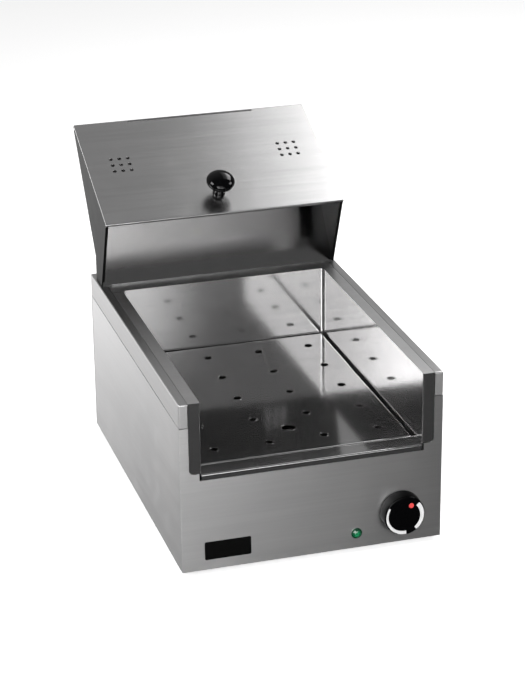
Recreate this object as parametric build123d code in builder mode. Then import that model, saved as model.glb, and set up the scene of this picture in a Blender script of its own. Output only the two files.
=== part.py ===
"""Counter-top chip warmer: heated well, perforated plate, hood with a hinged lid.

Millimetres. X runs to the user's right, Y to the back, Z up. The origin is on the
counter, under the middle of the whole object. The front of the cabinet faces -Y.
"""

import os
from math import asin, atan2, cos, degrees, hypot, radians, sin

from build123d import *

os.makedirs("parts", exist_ok=True)

# Driving dimensions of the cabinet
width = 285.0
depth = 400.0
height = 190.5
foot_height = 5.0
sheet = 1.2
bend = 1.6
seam = 0.8

# Hood section: distances behind the front face, and heights above the rim
hinge_behind = 473.7
hinge_above = 156.0
mouth_behind = 317.0
mouth_above = 86.5
chute_foot_behind = 353.5
cheek_tail_behind = 379.0
cheek_plane = 140.0
roll_radius = 2.2

# Control knob, neon and badge: places on the front panel, from its centre and its lower edge
knob_x = 96.6
knob_up = 37.5
knob_radius = 23.0
knob_reach = 15.8
neon_x = 48.0
neon_up = 17.5
badge_x = -93.15
badge_up = 22.25
badge_size = (50.0, 20.4)

# The whole object runs from the knob's dot to the back of the lid's rolled edge
dot_rise = 0.5
front_reach = knob_reach + dot_rise
rear_reach = hinge_behind + roll_radius
front = front_reach - (front_reach + rear_reach) / 2
rear = front + depth
base = foot_height
rim = base + height
side = width / 2

# Top frame and its flush recess for the liner's flanges
skirt_height = 26.0
strip_width = 8.8
rear_strip = 5.1
ledge_overlap = 1.2

# Well
well_half = 120.25
well_rear = front + 333.0
ledge_depth = 24.0
lip_level = base + 110.0
lip_drop = 6.4
floor_level = base + 84.0
post_edge = 132.8
post_foot = base + 112.1
cutout_gap = 0.7

# Perforated plate
plate_half = 117.25
plate_front = front + 24.6
plate_rear = front + 329.6
hole_pitch = 60.5
hole_radius = 4.75
finger_radius = 8.0
finger_behind = 84.5

# Lid furniture, measured along the lid from the hinge axis
vent_down_lid = 74.5
vent_across = 100.3
vent_pitch = (10.0, 10.2)
vent_radius = 2.25
lid_knob_down_lid = 138.0

# Hinge
hinge_length = 152.0
knuckle_count = 10
knuckle_gap = 0.3
pin_radius = 1.0
pin_clearance = 0.05
leaf = 1.0
leaf_width = 15.0

# Fasteners
m4_shank = 1.9
m4_hole = 2.05
m4_head = 3.8
m4_head_height = 2.4
m4_nut_flats = 7.0
m4_nut_height = 3.2
rivet_shank = 1.6
rivet_hole = 1.7
rivet_head = 3.2

# Heating
element_radius = 3.25
element_z = floor_level - sheet - element_radius
bar_top = element_z - element_radius
stud_x = 53.5
bar_rows = (front + 110.0, front + 180.0, front + 250.0)
bar_half = (95.0, 6.0)
shield_top = base + 58.0

# Section geometry of the hood, worked out from the driving points
hinge_y = front + hinge_behind
hinge_z = rim + hinge_above
mouth_y = front + mouth_behind
mouth_z = rim + mouth_above
foot_y = front + chute_foot_behind
mouth_distance = hypot(hinge_y - mouth_y, hinge_z - mouth_z)
lid_slope = atan2(hinge_z - mouth_z, hinge_y - mouth_y) + asin(roll_radius / mouth_distance)
lid_length = (mouth_distance**2 - roll_radius**2) ** 0.5
chute_slope = atan2(hinge_z - rim, hinge_y - foot_y)
chute_length = hypot(hinge_z - rim, hinge_y - foot_y)

# Working planes
front_face = Plane(origin=(0, front, base), x_dir=(1, 0, 0), z_dir=(0, -1, 0))
rear_face = Plane(origin=(0, rear, base), x_dir=(-1, 0, 0), z_dir=(0, 1, 0))
lid_plane = Plane(
    origin=(0, hinge_y, hinge_z), x_dir=(1, 0, 0), z_dir=(0, -sin(lid_slope), cos(lid_slope))
)
# On the chute plane, y runs up the slope to the hinge axis and z points into the hood
chute_plane = Plane(
    origin=(0, hinge_y, hinge_z), x_dir=(1, 0, 0), z_dir=(0, -sin(chute_slope), cos(chute_slope))
)


def span(low, high):
    """Box between two opposite corners."""
    size = [b - a for a, b in zip(low, high)]
    with Locations(tuple((a + b) / 2 for a, b in zip(low, high))):
        return Box(*size)


def cut(low, high):
    """Take the box between two opposite corners away."""
    size = [b - a for a, b in zip(low, high)]
    with Locations(tuple((a + b) / 2 for a, b in zip(low, high))):
        Box(*size, mode=Mode.SUBTRACT)


def on_lid(v, w):
    """Section point (Y, Z) at v up the lid from the hinge axis and w outwards."""
    y = hinge_y + v * cos(lid_slope) - w * sin(lid_slope)
    z = hinge_z + v * sin(lid_slope) + w * cos(lid_slope)
    return (y, z)


def on_chute(v, w):
    """Section point (Y, Z) at v up the chute from the hinge axis and w into the hood."""
    y = hinge_y + v * cos(chute_slope) - w * sin(chute_slope)
    z = hinge_z + v * sin(chute_slope) + w * cos(chute_slope)
    return (y, z)


def finish(builder, name):
    """Label a finished piece and write it."""
    builder.part.label = name
    export_step(builder.part, f"parts/{name}.step")


def screws(plane, places, head, head_height, shank, length):
    """Domed screws on a plane: heads outside it, shanks into it."""
    with Locations(plane):
        with Locations(*places):
            Cylinder(head, head_height, align=(Align.CENTER, Align.CENTER, Align.MIN))
            Cylinder(shank, length, align=(Align.CENTER, Align.CENTER, Align.MAX))


def drill(plane, places, radius, depth_each_way=6.0):
    """Round holes through a sheet at places on a plane."""
    with Locations(plane):
        with Locations(*places):
            Cylinder(radius, 2 * depth_each_way, mode=Mode.SUBTRACT)


# Screw places shared by the pieces that they join
back_screw_places = [(x, z) for x in (-135.0, 135.0) for z in (14.0, 80.0, 146.0)]
foot_places = [(x, y) for x in (-104.0, 104.0) for y in (front + 45.0, rear - 45.0)]
hood_screw_y = front + 368.0
hood_screw_places = [(x, hood_screw_y) for x in (-131.5, -70.0, 0.0, 70.0, 131.5)]
base_screw_places = [(x, front + 9.0) for x in (-90.0, 0.0, 90.0)]
stud_places = [(x, y) for x in (-stud_x, stud_x) for y in bar_rows]
rivet_places = [(x, -11.0) for x in (-57.0, -19.0, 19.0, 57.0)]
thermostat_screw_places = [(knob_x, knob_up - 14.0), (knob_x, knob_up + 14.0)]

# Side panels: flat sheets turned inwards at the front, at the back and at the foot
panel_top = rim - skirt_height - seam
panel_front = front + sheet + 0.2
panel_rear = rear - sheet - 0.2
return_width = 14.0
for name, hand in (("left_side_panel", -1), ("right_side_panel", 1)):
    with BuildPart() as side_panel:
        with BuildSketch(Plane.XY.offset(base)):
            with BuildLine():
                FilletPolyline(
                    (hand * (side - return_width), panel_front),
                    (hand * side, panel_front),
                    (hand * side, panel_rear),
                    (hand * (side - return_width), panel_rear),
                    radius=bend,
                )
                offset(amount=sheet, side=Side.LEFT if hand > 0 else Side.RIGHT)
            make_face()
        extrude(amount=panel_top - base)
        drill(rear_face, [(x, z) for x, z in back_screw_places if x * hand < 0], m4_hole)
    finish(side_panel, name)

# Front panel: one sheet with an ear on each side of the well and a return at the foot
ear_edge = side - strip_width - 0.3
post_bottom_edge = post_foot - base - cutout_gap
lip_bottom_edge = lip_level - base - lip_drop - 0.3
lip_step = well_half + 1.8
with BuildPart() as front_panel:
    with BuildSketch(front_face):
        with BuildLine():
            Polyline(
                (-side, 0),
                (side, 0),
                (side, panel_top - base),
                (ear_edge, panel_top - base),
                (ear_edge, post_bottom_edge),
                (lip_step, post_bottom_edge),
                (lip_step, lip_bottom_edge),
                (-lip_step, lip_bottom_edge),
                (-lip_step, post_bottom_edge),
                (-ear_edge, post_bottom_edge),
                (-ear_edge, panel_top - base),
                (-side, panel_top - base),
                close=True,
            )
        make_face()
    extrude(amount=-sheet)
    ear_edges = [
        e
        for e in edges().filter_by(Axis.Y)
        if abs(abs(e.center().X) - ear_edge) < 0.1 and abs(e.center().Z - base - post_bottom_edge) < 0.1
    ]
    fillet(ear_edges, radius=4.6)
    span((-side + 16, front, base), (side - 16, front + 15, base + sheet))
    foot_bend = edges().filter_by(Axis.X).group_by(Axis.Z)[0].sort_by(Axis.Y)[0:1]
    fillet(foot_bend, radius=1.1)
    drill(front_face, [(knob_x, knob_up)], 5.3)
    drill(front_face, thermostat_screw_places, m4_hole)
    drill(front_face, [(neon_x, neon_up)], 5.0)
    drill(Plane.XY.offset(base), base_screw_places, m4_hole)
finish(front_panel, "front_panel")

# Back panel with louvre slots, a hole for the cable gland and six screw holes
gland_place = (-95.0, 32.0)
gland_hole = 8.1
louvre_middle = (20.0, 118.0)
louvre_pitch = (80.0, 10.0)
louvre_slot = (62.0, 4.0)
with BuildPart() as back_panel:
    with BuildSketch(rear_face):
        with Locations((0, (panel_top - base) / 2)):
            Rectangle(width, panel_top - base)
        with Locations(louvre_middle):
            with GridLocations(*louvre_pitch, 2, 5):
                SlotOverall(*louvre_slot, mode=Mode.SUBTRACT)
        with Locations(gland_place):
            Circle(gland_hole, mode=Mode.SUBTRACT)
        with Locations(*back_screw_places):
            Circle(m4_hole, mode=Mode.SUBTRACT)
    extrude(amount=-sheet)
finish(back_panel, "back_panel")

# Base panel: tray with upturned sides and cooling slots
tray_upturn = 11.0
cooling_slot = (70.0, 5.0)
cooling_pitch = (22.0, 150.0)
base_low = base + sheet + 0.1
tray_side = side - sheet - 0.2
tray_front = panel_front + sheet + 0.2
tray_rear = panel_rear - sheet - 0.2
with BuildPart() as base_panel:
    span((-tray_side, tray_front, base_low), (tray_side, tray_rear, base_low + sheet))
    for hand in (-1, 1):
        x_low, x_high = sorted((hand * tray_side, hand * (tray_side - sheet)))
        span((x_low, tray_front, base_low), (x_high, tray_rear, base_low + tray_upturn))
    with BuildSketch(Plane.XY.offset(base_low)):
        with Locations((0, (front + rear) / 2)):
            with GridLocations(*cooling_pitch, 7, 2):
                SlotOverall(*cooling_slot, rotation=90)
    extrude(amount=sheet, mode=Mode.SUBTRACT)
    with Locations(*[(x, y, base_low) for x, y in foot_places]):
        Cylinder(m4_hole, 8, mode=Mode.SUBTRACT)
    drill(Plane.XY.offset(base_low), base_screw_places, m4_hole)
finish(base_panel, "base_panel")

with BuildPart() as base_screws:
    from_below = Plane(origin=(0, 0, base), x_dir=(1, 0, 0), z_dir=(0, 0, -1))
    places = [(x, -y) for x, y in base_screw_places]
    screws(from_below, places, m4_head, m4_head_height, m4_shank, 8.0)
    fillet(edges().filter_by(GeomType.CIRCLE).group_by(Axis.Z)[0], radius=1.2)
finish(base_screws, "base_screws")

# Rubber feet, each with a screw sunk in it
foot_top_radius = 12.0
foot_recess = 3.4
with BuildPart() as feet:
    with Locations(*[(x, y, 0) for x, y in foot_places]):
        Cone(10.5, foot_top_radius, base_low, align=(Align.CENTER, Align.CENTER, Align.MIN))
        Cylinder(m4_hole + 0.1, 20, mode=Mode.SUBTRACT)
        Cylinder(m4_head + 0.6, 2 * foot_recess, mode=Mode.SUBTRACT)
    rims_below = edges().filter_by(GeomType.CIRCLE).group_by(Axis.Z)[0]
    fillet(rims_below.group_by(SortBy.RADIUS)[-1], radius=1.0)
finish(feet, "rubber_feet")

with BuildPart() as foot_screws:
    from_below = Plane(origin=(0, 0, foot_recess), x_dir=(1, 0, 0), z_dir=(0, 0, -1))
    places = [(x, -y) for x, y in foot_places]
    screws(from_below, places, m4_head, m4_head_height, m4_shank, 9.0)
finish(foot_screws, "foot_screws")

with BuildPart() as back_screws:
    screws(rear_face, back_screw_places, m4_head, m4_head_height, m4_shank, 8.0)
    fillet(edges().filter_by(GeomType.CIRCLE).group_by(Axis.Y)[-1], radius=1.3)
finish(back_screws, "back_panel_screws")

# Top frame: skirts on two sides and the back, front tabs, strips, and a sunk ledge for the liner
recess_half = side - strip_width - 0.5
recess_rear = rear - rear_strip
ledge_top = rim - sheet
wall_outer = well_half + sheet
with BuildPart() as top_frame:
    span((-side, front, rim - skirt_height), (side, rear, rim))
    outer_edges = edges().filter_by(Axis.Z) + edges().group_by(Axis.Z)[-1]
    fillet(outer_edges, radius=bend)
    cut((-side + sheet, front + sheet, rim - skirt_height - 1), (side - sheet, rear - sheet, rim - sheet))
    cut((-recess_half, front - 1, rim - sheet), (recess_half, recess_rear, rim + 1))
    cut((-ear_edge, front - 1, rim - skirt_height - 1), (ear_edge, front + sheet + 0.5, rim + 1))
    ledge_reach = recess_half + ledge_overlap
    for hand in (-1, 1):
        x_low, x_high = sorted((hand * (wall_outer + 0.5), hand * ledge_reach))
        span((x_low, front + sheet + 0.5, ledge_top - sheet), (x_high, recess_rear, ledge_top))
    span(
        (-ledge_reach, well_rear + sheet + 0.5, ledge_top - sheet),
        (ledge_reach, recess_rear + ledge_overlap, ledge_top),
    )
    with Locations(*[(x, y, ledge_top) for x, y in hood_screw_places]):
        Cylinder(m4_hole, 8, mode=Mode.SUBTRACT)
finish(top_frame, "top_frame")

# Well liner: walls, floor pan, front ledge and lip, two front posts and three rim flanges
flange_half = recess_half - 0.5
flange_rear = recess_rear - 0.5
with BuildPart() as liner:
    pan_front = front + ledge_depth - sheet
    span((-wall_outer, pan_front, floor_level - sheet), (wall_outer, well_rear + sheet, rim))
    span((-wall_outer, front, lip_level - sheet), (wall_outer, front + ledge_depth, rim))
    span((-flange_half, front, ledge_top), (flange_half, flange_rear, rim))
    span((-post_edge, front, post_foot), (post_edge, front + sheet, rim))
    lip_half = well_half - 0.4
    span((-lip_half, front, lip_level - lip_drop), (lip_half, front + sheet, lip_level))
    cut((-well_half, front + ledge_depth, floor_level), (well_half, well_rear, rim + 1))
    cut((-well_half, front - 1, lip_level), (well_half, front + ledge_depth, rim + 1))
    rear_corners = [
        e
        for e in edges().filter_by(Axis.Z)
        if abs(e.center().Y - well_rear) < 0.01 and abs(e.center().X) < well_half + 0.01
    ]
    fillet(rear_corners, radius=3.0)
    for hand in (-1, 1):
        # Relief notches let each post and the lip turn separately
        x_low, x_high = sorted((hand * lip_half, hand * (wall_outer + 0.6)))
        cut((x_low, front - 1, lip_level - lip_drop - 1), (x_high, front + 3.2, post_foot))
        # The side flanges end in a narrow gap before the rear flange
        x_low, x_high = sorted((hand * (wall_outer + 0.2), hand * (flange_half + 1)))
        cut((x_low, well_rear - 2.6, ledge_top - 0.1), (x_high, well_rear - 2.0, rim + 1))
    mouth_edges = [
        e
        for e in edges().filter_by(Axis.Z)
        if abs(abs(e.center().X) - well_half) < 0.01 and abs(e.center().Y - front) < 0.01
    ]
    fillet(mouth_edges, radius=bend)
    lip_edges = [
        e
        for e in edges().filter_by(Axis.X)
        if abs(e.center().Z - lip_level) < 0.01 and abs(e.center().Y - front) < 0.01
    ]
    fillet(lip_edges, radius=bend)
    ledge_edges = [
        e
        for e in edges().filter_by(Axis.X)
        if abs(e.center().Z - lip_level) < 0.01 and abs(e.center().Y - front - ledge_depth) < 0.01
    ]
    fillet(ledge_edges, radius=bend)
    post_corners = [
        e
        for e in edges().filter_by(Axis.Y)
        if abs(abs(e.center().X) - post_edge) < 0.01 and abs(e.center().Z - post_foot) < 0.01
    ]
    fillet(post_corners, radius=4.0)
    lip_corners = [
        e
        for e in edges().filter_by(Axis.Y)
        if abs(abs(e.center().X) - lip_half) < 0.01
        and abs(e.center().Z - lip_level + lip_drop) < 0.01
    ]
    fillet(lip_corners, radius=2.6)
    with Locations(*[(x, y, rim) for x, y in hood_screw_places]):
        Cylinder(m4_hole, 8, mode=Mode.SUBTRACT)
finish(liner, "well_liner")

# Perforated plate: an upturned tray standing on the floor pan
with BuildPart() as plate:
    span((-plate_half, plate_front, floor_level + 0.2), (plate_half, plate_rear, lip_level))
    fillet(edges().filter_by(Axis.Z), radius=2.0)
    fillet(edges().group_by(Axis.Z)[-1], radius=1.3)
    cut(
        (-plate_half + sheet, plate_front + sheet, floor_level - 1),
        (plate_half - sheet, plate_rear - sheet, lip_level - sheet),
    )
    with BuildSketch(Plane.XY.offset(lip_level)):
        with Locations((0, (plate_front + plate_rear) / 2)):
            with GridLocations(hole_pitch, hole_pitch, 4, 5):
                Circle(hole_radius)
        with Locations((0, front + finger_behind)):
            Circle(finger_radius)
    extrude(amount=-2 * sheet, mode=Mode.SUBTRACT)
finish(plate, "perforated_plate")

# Heating element: one tube bent into four runs under the floor pan
run_outer = 80.0
run_inner = 27.0
run_front = front + 48.0
run_turn = front + 78.0
run_back = front + 292.0
with BuildPart() as element:
    with BuildLine() as element_path:
        FilletPolyline(
            (run_outer, run_front, element_z),
            (run_outer, run_back, element_z),
            (run_inner, run_back, element_z),
            (run_inner, run_turn, element_z),
            (-run_inner, run_turn, element_z),
            (-run_inner, run_back, element_z),
            (-run_outer, run_back, element_z),
            (-run_outer, run_front, element_z),
            radius=25.0,
        )
    with BuildSketch(Plane(origin=(run_outer, run_front, element_z), z_dir=(0, 1, 0))):
        Circle(element_radius)
    sweep()
finish(element, "heating_element")

with BuildPart() as element_terminals:
    with Locations(
        *[
            Location((x, run_front, element_z), (90, 0, 0))
            for x in (-run_outer, run_outer)
        ]
    ):
        Cylinder(2.0, 14, align=(Align.CENTER, Align.CENTER, Align.MIN))
        with Locations((0, 0, 4)):
            Cylinder(3.0, 3)
finish(element_terminals, "element_terminals")

with BuildPart() as clamp_bars:
    for bar_y in bar_rows:
        bar_low = (-bar_half[0], bar_y - bar_half[1], bar_top - sheet)
        span(bar_low, (bar_half[0], bar_y + bar_half[1], bar_top))
    with Locations(*[(x, y, bar_top) for x, y in stud_places]):
        Cylinder(m4_hole, 8, mode=Mode.SUBTRACT)
finish(clamp_bars, "element_clamp_bars")

stud_low = shield_top - 8.0
with BuildPart() as clamp_studs:
    with Locations(*[(x, y, stud_low) for x, y in stud_places]):
        stud_length = floor_level - sheet - stud_low
        Cylinder(m4_shank, stud_length, align=(Align.CENTER, Align.CENTER, Align.MIN))
finish(clamp_studs, "clamp_studs")


def nuts(places, top):
    """Hexagon nuts hanging below a level at places in plan."""
    with BuildSketch(Plane.XY.offset(top)) as outline:
        with Locations(*places):
            RegularPolygon(m4_nut_flats / 2, 6, major_radius=False)
            Circle(m4_shank, mode=Mode.SUBTRACT)
    extrude(outline.sketch, amount=-m4_nut_height)


with BuildPart() as clamp_nuts:
    nuts(stud_places, bar_top - sheet)
finish(clamp_nuts, "clamp_nuts")

# Heat shield and its insulation hang on the same studs
shield_front = front + 32.0
shield_rear = front + 322.0
shield_half = 112.0
shield_upturn = 12.0
pad_thickness = 8.0
with BuildPart() as shield:
    span((-shield_half, shield_front, shield_top - sheet), (shield_half, shield_rear, shield_top))
    for hand in (-1, 1):
        x_low, x_high = sorted((hand * shield_half, hand * (shield_half - sheet)))
        span((x_low, shield_front, shield_top - sheet), (x_high, shield_rear, shield_top + shield_upturn))
    with Locations(*[(x, y, shield_top) for x, y in stud_places]):
        Cylinder(m4_hole, 8, mode=Mode.SUBTRACT)
finish(shield, "heat_shield")

with BuildPart() as insulation:
    pad_half = shield_half - sheet - 0.8
    pad_low = (-pad_half, shield_front + 1, shield_top)
    span(pad_low, (pad_half, shield_rear - 1, shield_top + pad_thickness))
    with Locations(*[(x, y, shield_top) for x, y in stud_places]):
        Cylinder(m4_hole + 0.5, 30, mode=Mode.SUBTRACT)
finish(insulation, "insulation_pad")

with BuildPart() as shield_nuts:
    nuts(stud_places, shield_top - sheet)
finish(shield_nuts, "shield_nuts")

# Thermostat: body, bush through the panel, shaft, terminals, two screws, bulb and capillary
body_front = front + sheet + 3.0
body_back = body_front + 30.0
body_half = 18.0
knob_z = base + knob_up
shaft_radius = 3.0
shaft_end = body_front + 8.0
with BuildPart() as thermostat_body:
    body_low = (knob_x - body_half, body_front, knob_z - body_half)
    span(body_low, (knob_x + body_half, body_back, knob_z + body_half))
    fillet(edges().filter_by(Axis.Y), radius=2.5)
    with BuildSketch(front_face.offset(-(body_front - front))):
        with Locations((knob_x, knob_up)):
            Circle(shaft_radius + pin_clearance)
    extrude(amount=-9.0, mode=Mode.SUBTRACT)
    drill(front_face, thermostat_screw_places, m4_hole, 11.5)
finish(thermostat_body, "thermostat_body")

with BuildPart() as thermostat_bush:
    with BuildSketch(front_face.offset(0.4)):
        with Locations((knob_x, knob_up)):
            Circle(5.0)
            Circle(shaft_radius + pin_clearance, mode=Mode.SUBTRACT)
    extrude(amount=-(body_front - front + 0.4))
finish(thermostat_bush, "thermostat_bush")

shaft_front = front - 12.0
with BuildPart() as thermostat_shaft:
    with BuildSketch(front_face.offset(front - shaft_front)):
        with Locations((knob_x, knob_up)):
            Circle(shaft_radius)
    extrude(amount=-(shaft_end - shaft_front))
finish(thermostat_shaft, "thermostat_shaft")

with BuildPart() as thermostat_terminals:
    with Locations(
        *[(knob_x + x, body_back, knob_z + z) for x in (-8.0, 8.0) for z in (-7.0, 7.0)]
    ):
        Box(0.8, 9, 6.3, align=(Align.CENTER, Align.MIN, Align.CENTER))
finish(thermostat_terminals, "thermostat_terminals")

with BuildPart() as thermostat_screws:
    screws(front_face, thermostat_screw_places, 3.6, 2.2, m4_shank, 10.0)
    fillet(edges().filter_by(GeomType.CIRCLE).group_by(Axis.Y)[0], radius=1.2)
finish(thermostat_screws, "thermostat_screws")

bulb_radius = 3.0
bulb_z = floor_level - sheet - bulb_radius
bulb_front = front + 98.0
with BuildPart() as bulb:
    with BuildSketch(Plane(origin=(0, bulb_front, bulb_z), z_dir=(0, 1, 0))):
        Circle(bulb_radius)
    extrude(amount=80)
    fillet(edges().filter_by(GeomType.CIRCLE), radius=1.5)
finish(bulb, "thermostat_bulb")

capillary_radius = 0.8
capillary_x = knob_x - body_half
with BuildPart() as capillary:
    with BuildLine() as capillary_path:
        FilletPolyline(
            (capillary_x, front + 20, knob_z + 10),
            (capillary_x - 14, front + 20, knob_z + 10),
            (capillary_x - 22, front + 24, base + 70),
            (0, front + 30, base + 72),
            (0, bulb_front - 17, base + 72),
            (0, bulb_front - 9, bulb_z),
            (0, bulb_front, bulb_z),
            radius=3.0,
        )
    with BuildSketch(Plane(origin=(capillary_x, front + 20, knob_z + 10), z_dir=(-1, 0, 0))):
        Circle(capillary_radius)
    sweep()
finish(capillary, "thermostat_capillary")

# Control knob: black turned cap, hollow behind, with a hub on the shaft
knob_gap = 0.8
knob_face_y = front - knob_reach
knob_centre = (knob_x, front, knob_z)
with BuildPart() as knob:
    with BuildSketch(Plane(origin=knob_centre, x_dir=(0, 1, 0), z_dir=(1, 0, 0))):
        with BuildLine():
            face = knob_reach
            Polyline(
                (-knob_gap, knob_radius),
                (-knob_gap, knob_radius - 2.4),
                (-(face - 4.0), knob_radius - 3.4),
                (-(face - 4.0), 6.5),
                (-1.6, 6.5),
                (-1.6, shaft_radius + 0.02),
                (-12.1, shaft_radius + 0.02),
                (-12.1, 0),
                (-face, 0),
                (-face, knob_radius - 2.0),
                (-(face - 1.4), knob_radius - 0.6),
                close=True,
            )
        make_face()
    revolve(axis=Axis(knob_centre, (0, 1, 0)))
finish(knob, "control_knob")

arc_outer = 21.0
ink = 0.3


def tapered_arc(start, end, start_width, end_width):
    """Face of one scale arc: clock angles from the top, widths at its two ends."""
    steps = 9
    outer = []
    inner = []
    for i in range(steps):
        share = i / (steps - 1)
        angle = radians(90 - (start + (end - start) * share))
        inside = arc_outer - (start_width + (end_width - start_width) * share)
        outer.append((arc_outer * cos(angle), arc_outer * sin(angle)))
        inner.append((inside * cos(angle), inside * sin(angle)))
    with BuildSketch() as arc:
        with BuildLine():
            Spline(*outer)
            Line(outer[-1], inner[-1])
            Spline(*reversed(inner))
            Line(inner[0], outer[0])
        make_face()
    return arc.sketch


face_plane = Plane(origin=(knob_x, knob_face_y, knob_z), x_dir=(1, 0, 0), z_dir=(0, -1, 0))
with BuildPart() as scale:
    for arc_face in (tapered_arc(48, 143, 4.6, 3.6), tapered_arc(176, 302, 3.9, 1.9)):
        extrude(face_plane * arc_face, amount=ink)
finish(scale, "knob_scale_arcs")

with BuildPart() as knob_dot:
    dot_angle = radians(90 - 31)
    with BuildSketch(face_plane):
        with Locations((13.2 * cos(dot_angle), 13.2 * sin(dot_angle))):
            Circle(2.8)
    extrude(amount=dot_rise)
    fillet(edges().group_by(Axis.Y)[0], radius=0.3)
finish(knob_dot, "knob_pointer_dot")

# Neon indicator: domed lens, body behind the panel, spring ring
neon_centre = (neon_x, front, base + neon_up)
dome_edge = (-1.8, 5.2)
dome_rise = 2.0
dome_radius = (dome_rise**2 + dome_edge[1] ** 2) / (2 * dome_rise)
dome_tip = dome_edge[0] - dome_rise
half_turn = asin(dome_edge[1] / dome_radius) / 2
dome_middle = (dome_tip + dome_radius * (1 - cos(half_turn)), dome_radius * sin(half_turn))
with BuildPart() as lens:
    with BuildSketch(Plane(origin=neon_centre, x_dir=(0, 1, 0), z_dir=(1, 0, 0))):
        with BuildLine():
            Polyline((0, 6.0), (-1.2, 6.0), dome_edge)
            ThreePointArc(dome_edge, dome_middle, (dome_tip, 0))
            Polyline((dome_tip, 0), (8, 0), (8, 4.7), (0, 4.7), (0, 6.0))
        make_face()
    revolve(axis=Axis(neon_centre, (0, 1, 0)))
finish(lens, "neon_lens")

with BuildPart() as neon_body:
    with BuildSketch(front_face.offset(-8.0)):
        with Locations((neon_x, neon_up)):
            Circle(4.7)
    extrude(amount=-20.0)
    with Locations(*[(neon_x + x, front + 28, base + neon_up) for x in (-2.4, 2.4)]):
        Box(0.8, 8, 4, align=(Align.CENTER, Align.MIN, Align.CENTER))
finish(neon_body, "neon_body")

with BuildPart() as neon_ring:
    with BuildSketch(front_face.offset(-sheet)):
        with Locations((neon_x, neon_up)):
            Circle(8.0)
            Circle(4.8, mode=Mode.SUBTRACT)
    extrude(amount=-1.6)
finish(neon_ring, "neon_spring_ring")

# Bare plate on the front panel
with BuildPart() as badge:
    with BuildSketch(front_face):
        with Locations((badge_x, badge_up)):
            RectangleRounded(*badge_size, 1.5)
    extrude(amount=1.0)
    fillet(edges().group_by(Axis.Y)[0], radius=0.35)
finish(badge, "badge_plate")

# Hood cheeks: plates with inward turned edges and a foot on the deck
lid_under = roll_radius - sheet
cheek_w = lid_under - 0.3
chute_back = -sheet
cheek_front_v = -(lid_length - sheet - 0.4)
cheek_front_point = on_lid(cheek_front_v, cheek_w)
mouth_low = (foot_y, rim)
tail_y = front + cheek_tail_behind
tail_share = (tail_y - on_chute(-chute_length, chute_back - sheet)[0]) / cos(chute_slope)
tail_top = on_chute(-chute_length + tail_share, chute_back - sheet)
top_point = on_chute(-4.0, chute_back - sheet)
inner_top = on_lid(-4.5, cheek_w)
hem_share = 0.93
hem_foot = tuple(a + (b - a) * hem_share for a, b in zip(cheek_front_point, mouth_low))
cheek_outline = [mouth_low, (tail_y, rim), tail_top, top_point, inner_top, cheek_front_point]
turn_in = 12.0


def in_plane_strip(start, end, thickness, x_low, x_high):
    """Strip along a section line from start to end, with its thickness to the line's left."""
    dy = end[0] - start[0]
    dz = end[1] - start[1]
    long = hypot(dy, dz)
    ny = -dz / long * thickness
    nz = dy / long * thickness
    corners = [start, end, (end[0] + ny, end[1] + nz), (start[0] + ny, start[1] + nz)]
    with BuildSketch(Plane.YZ.offset(x_low)) as strip:
        with BuildLine():
            Polyline(*corners, close=True)
        make_face()
    return (strip.sketch, x_high - x_low)


for name, hand in (("hood_left_cheek", -1), ("hood_right_cheek", 1)):
    edge = sorted((hand * cheek_plane, hand * (cheek_plane - sheet)))
    turned = sorted((hand * (cheek_plane - turn_in), hand * cheek_plane))
    hem = sorted((hand * (cheek_plane - 3.2), hand * cheek_plane))
    with BuildPart() as cheek:
        with BuildSketch(Plane.YZ.offset(edge[0])):
            with BuildLine():
                Polyline(*cheek_outline, close=True)
            make_face()
        extrude(amount=sheet)
        top_strip = in_plane_strip(on_lid(-20, cheek_w), on_lid(-160, cheek_w), sheet, *turned)
        rear_strip_low = on_chute(-chute_length + tail_share + 6, chute_back - sheet)
        rear_turn = in_plane_strip(rear_strip_low, on_chute(-8, chute_back - sheet), sheet, *turned)
        mouth_hem = in_plane_strip(cheek_front_point, hem_foot, sheet, *hem)
        for strip_face, reach in (top_strip, rear_turn, mouth_hem):
            extrude(strip_face, amount=reach)
        span((turned[0], front + 358.5, rim), (turned[1], tail_y, rim + sheet))
        with Locations(*[(x, y, rim) for x, y in hood_screw_places]):
            Cylinder(m4_hole, 8, mode=Mode.SUBTRACT)
    finish(cheek, name)

# Hood back panel: the chute, with a foot turned back under it
chute_half = cheek_plane - sheet - 0.1
foot_half = cheek_plane - turn_in - 0.3
with BuildPart() as hood_back:
    chute_low = on_chute(-chute_length + 0.3, 0)
    chute_face = in_plane_strip(on_chute(-2.9, 0), chute_low, sheet, -chute_half, chute_half)
    extrude(chute_face[0], amount=chute_face[1])
    cut((-chute_half - 1, foot_y - 20, rim - 20), (chute_half + 1, foot_y + 40, rim))
    span((-foot_half, foot_y + 0.4, rim), (foot_half, tail_y - 1, rim + sheet))
    with Locations(*[(x, y, rim) for x, y in hood_screw_places]):
        Cylinder(m4_hole, 8, mode=Mode.SUBTRACT)
    with Locations(chute_plane):
        with Locations(*rivet_places):
            Cylinder(rivet_hole, 6, mode=Mode.SUBTRACT)
finish(hood_back, "hood_back_panel")

with BuildPart() as hood_screws:
    screws(
        Plane.XY.offset(rim + sheet), hood_screw_places, m4_head, m4_head_height, m4_shank, 11.0
    )
    fillet(edges().filter_by(GeomType.CIRCLE).group_by(Axis.Z)[-1], radius=1.3)
finish(hood_screws, "hood_foot_screws")

with BuildPart() as hood_nuts:
    nuts(hood_screw_places, ledge_top - sheet)
finish(hood_nuts, "hood_foot_nuts")

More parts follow.
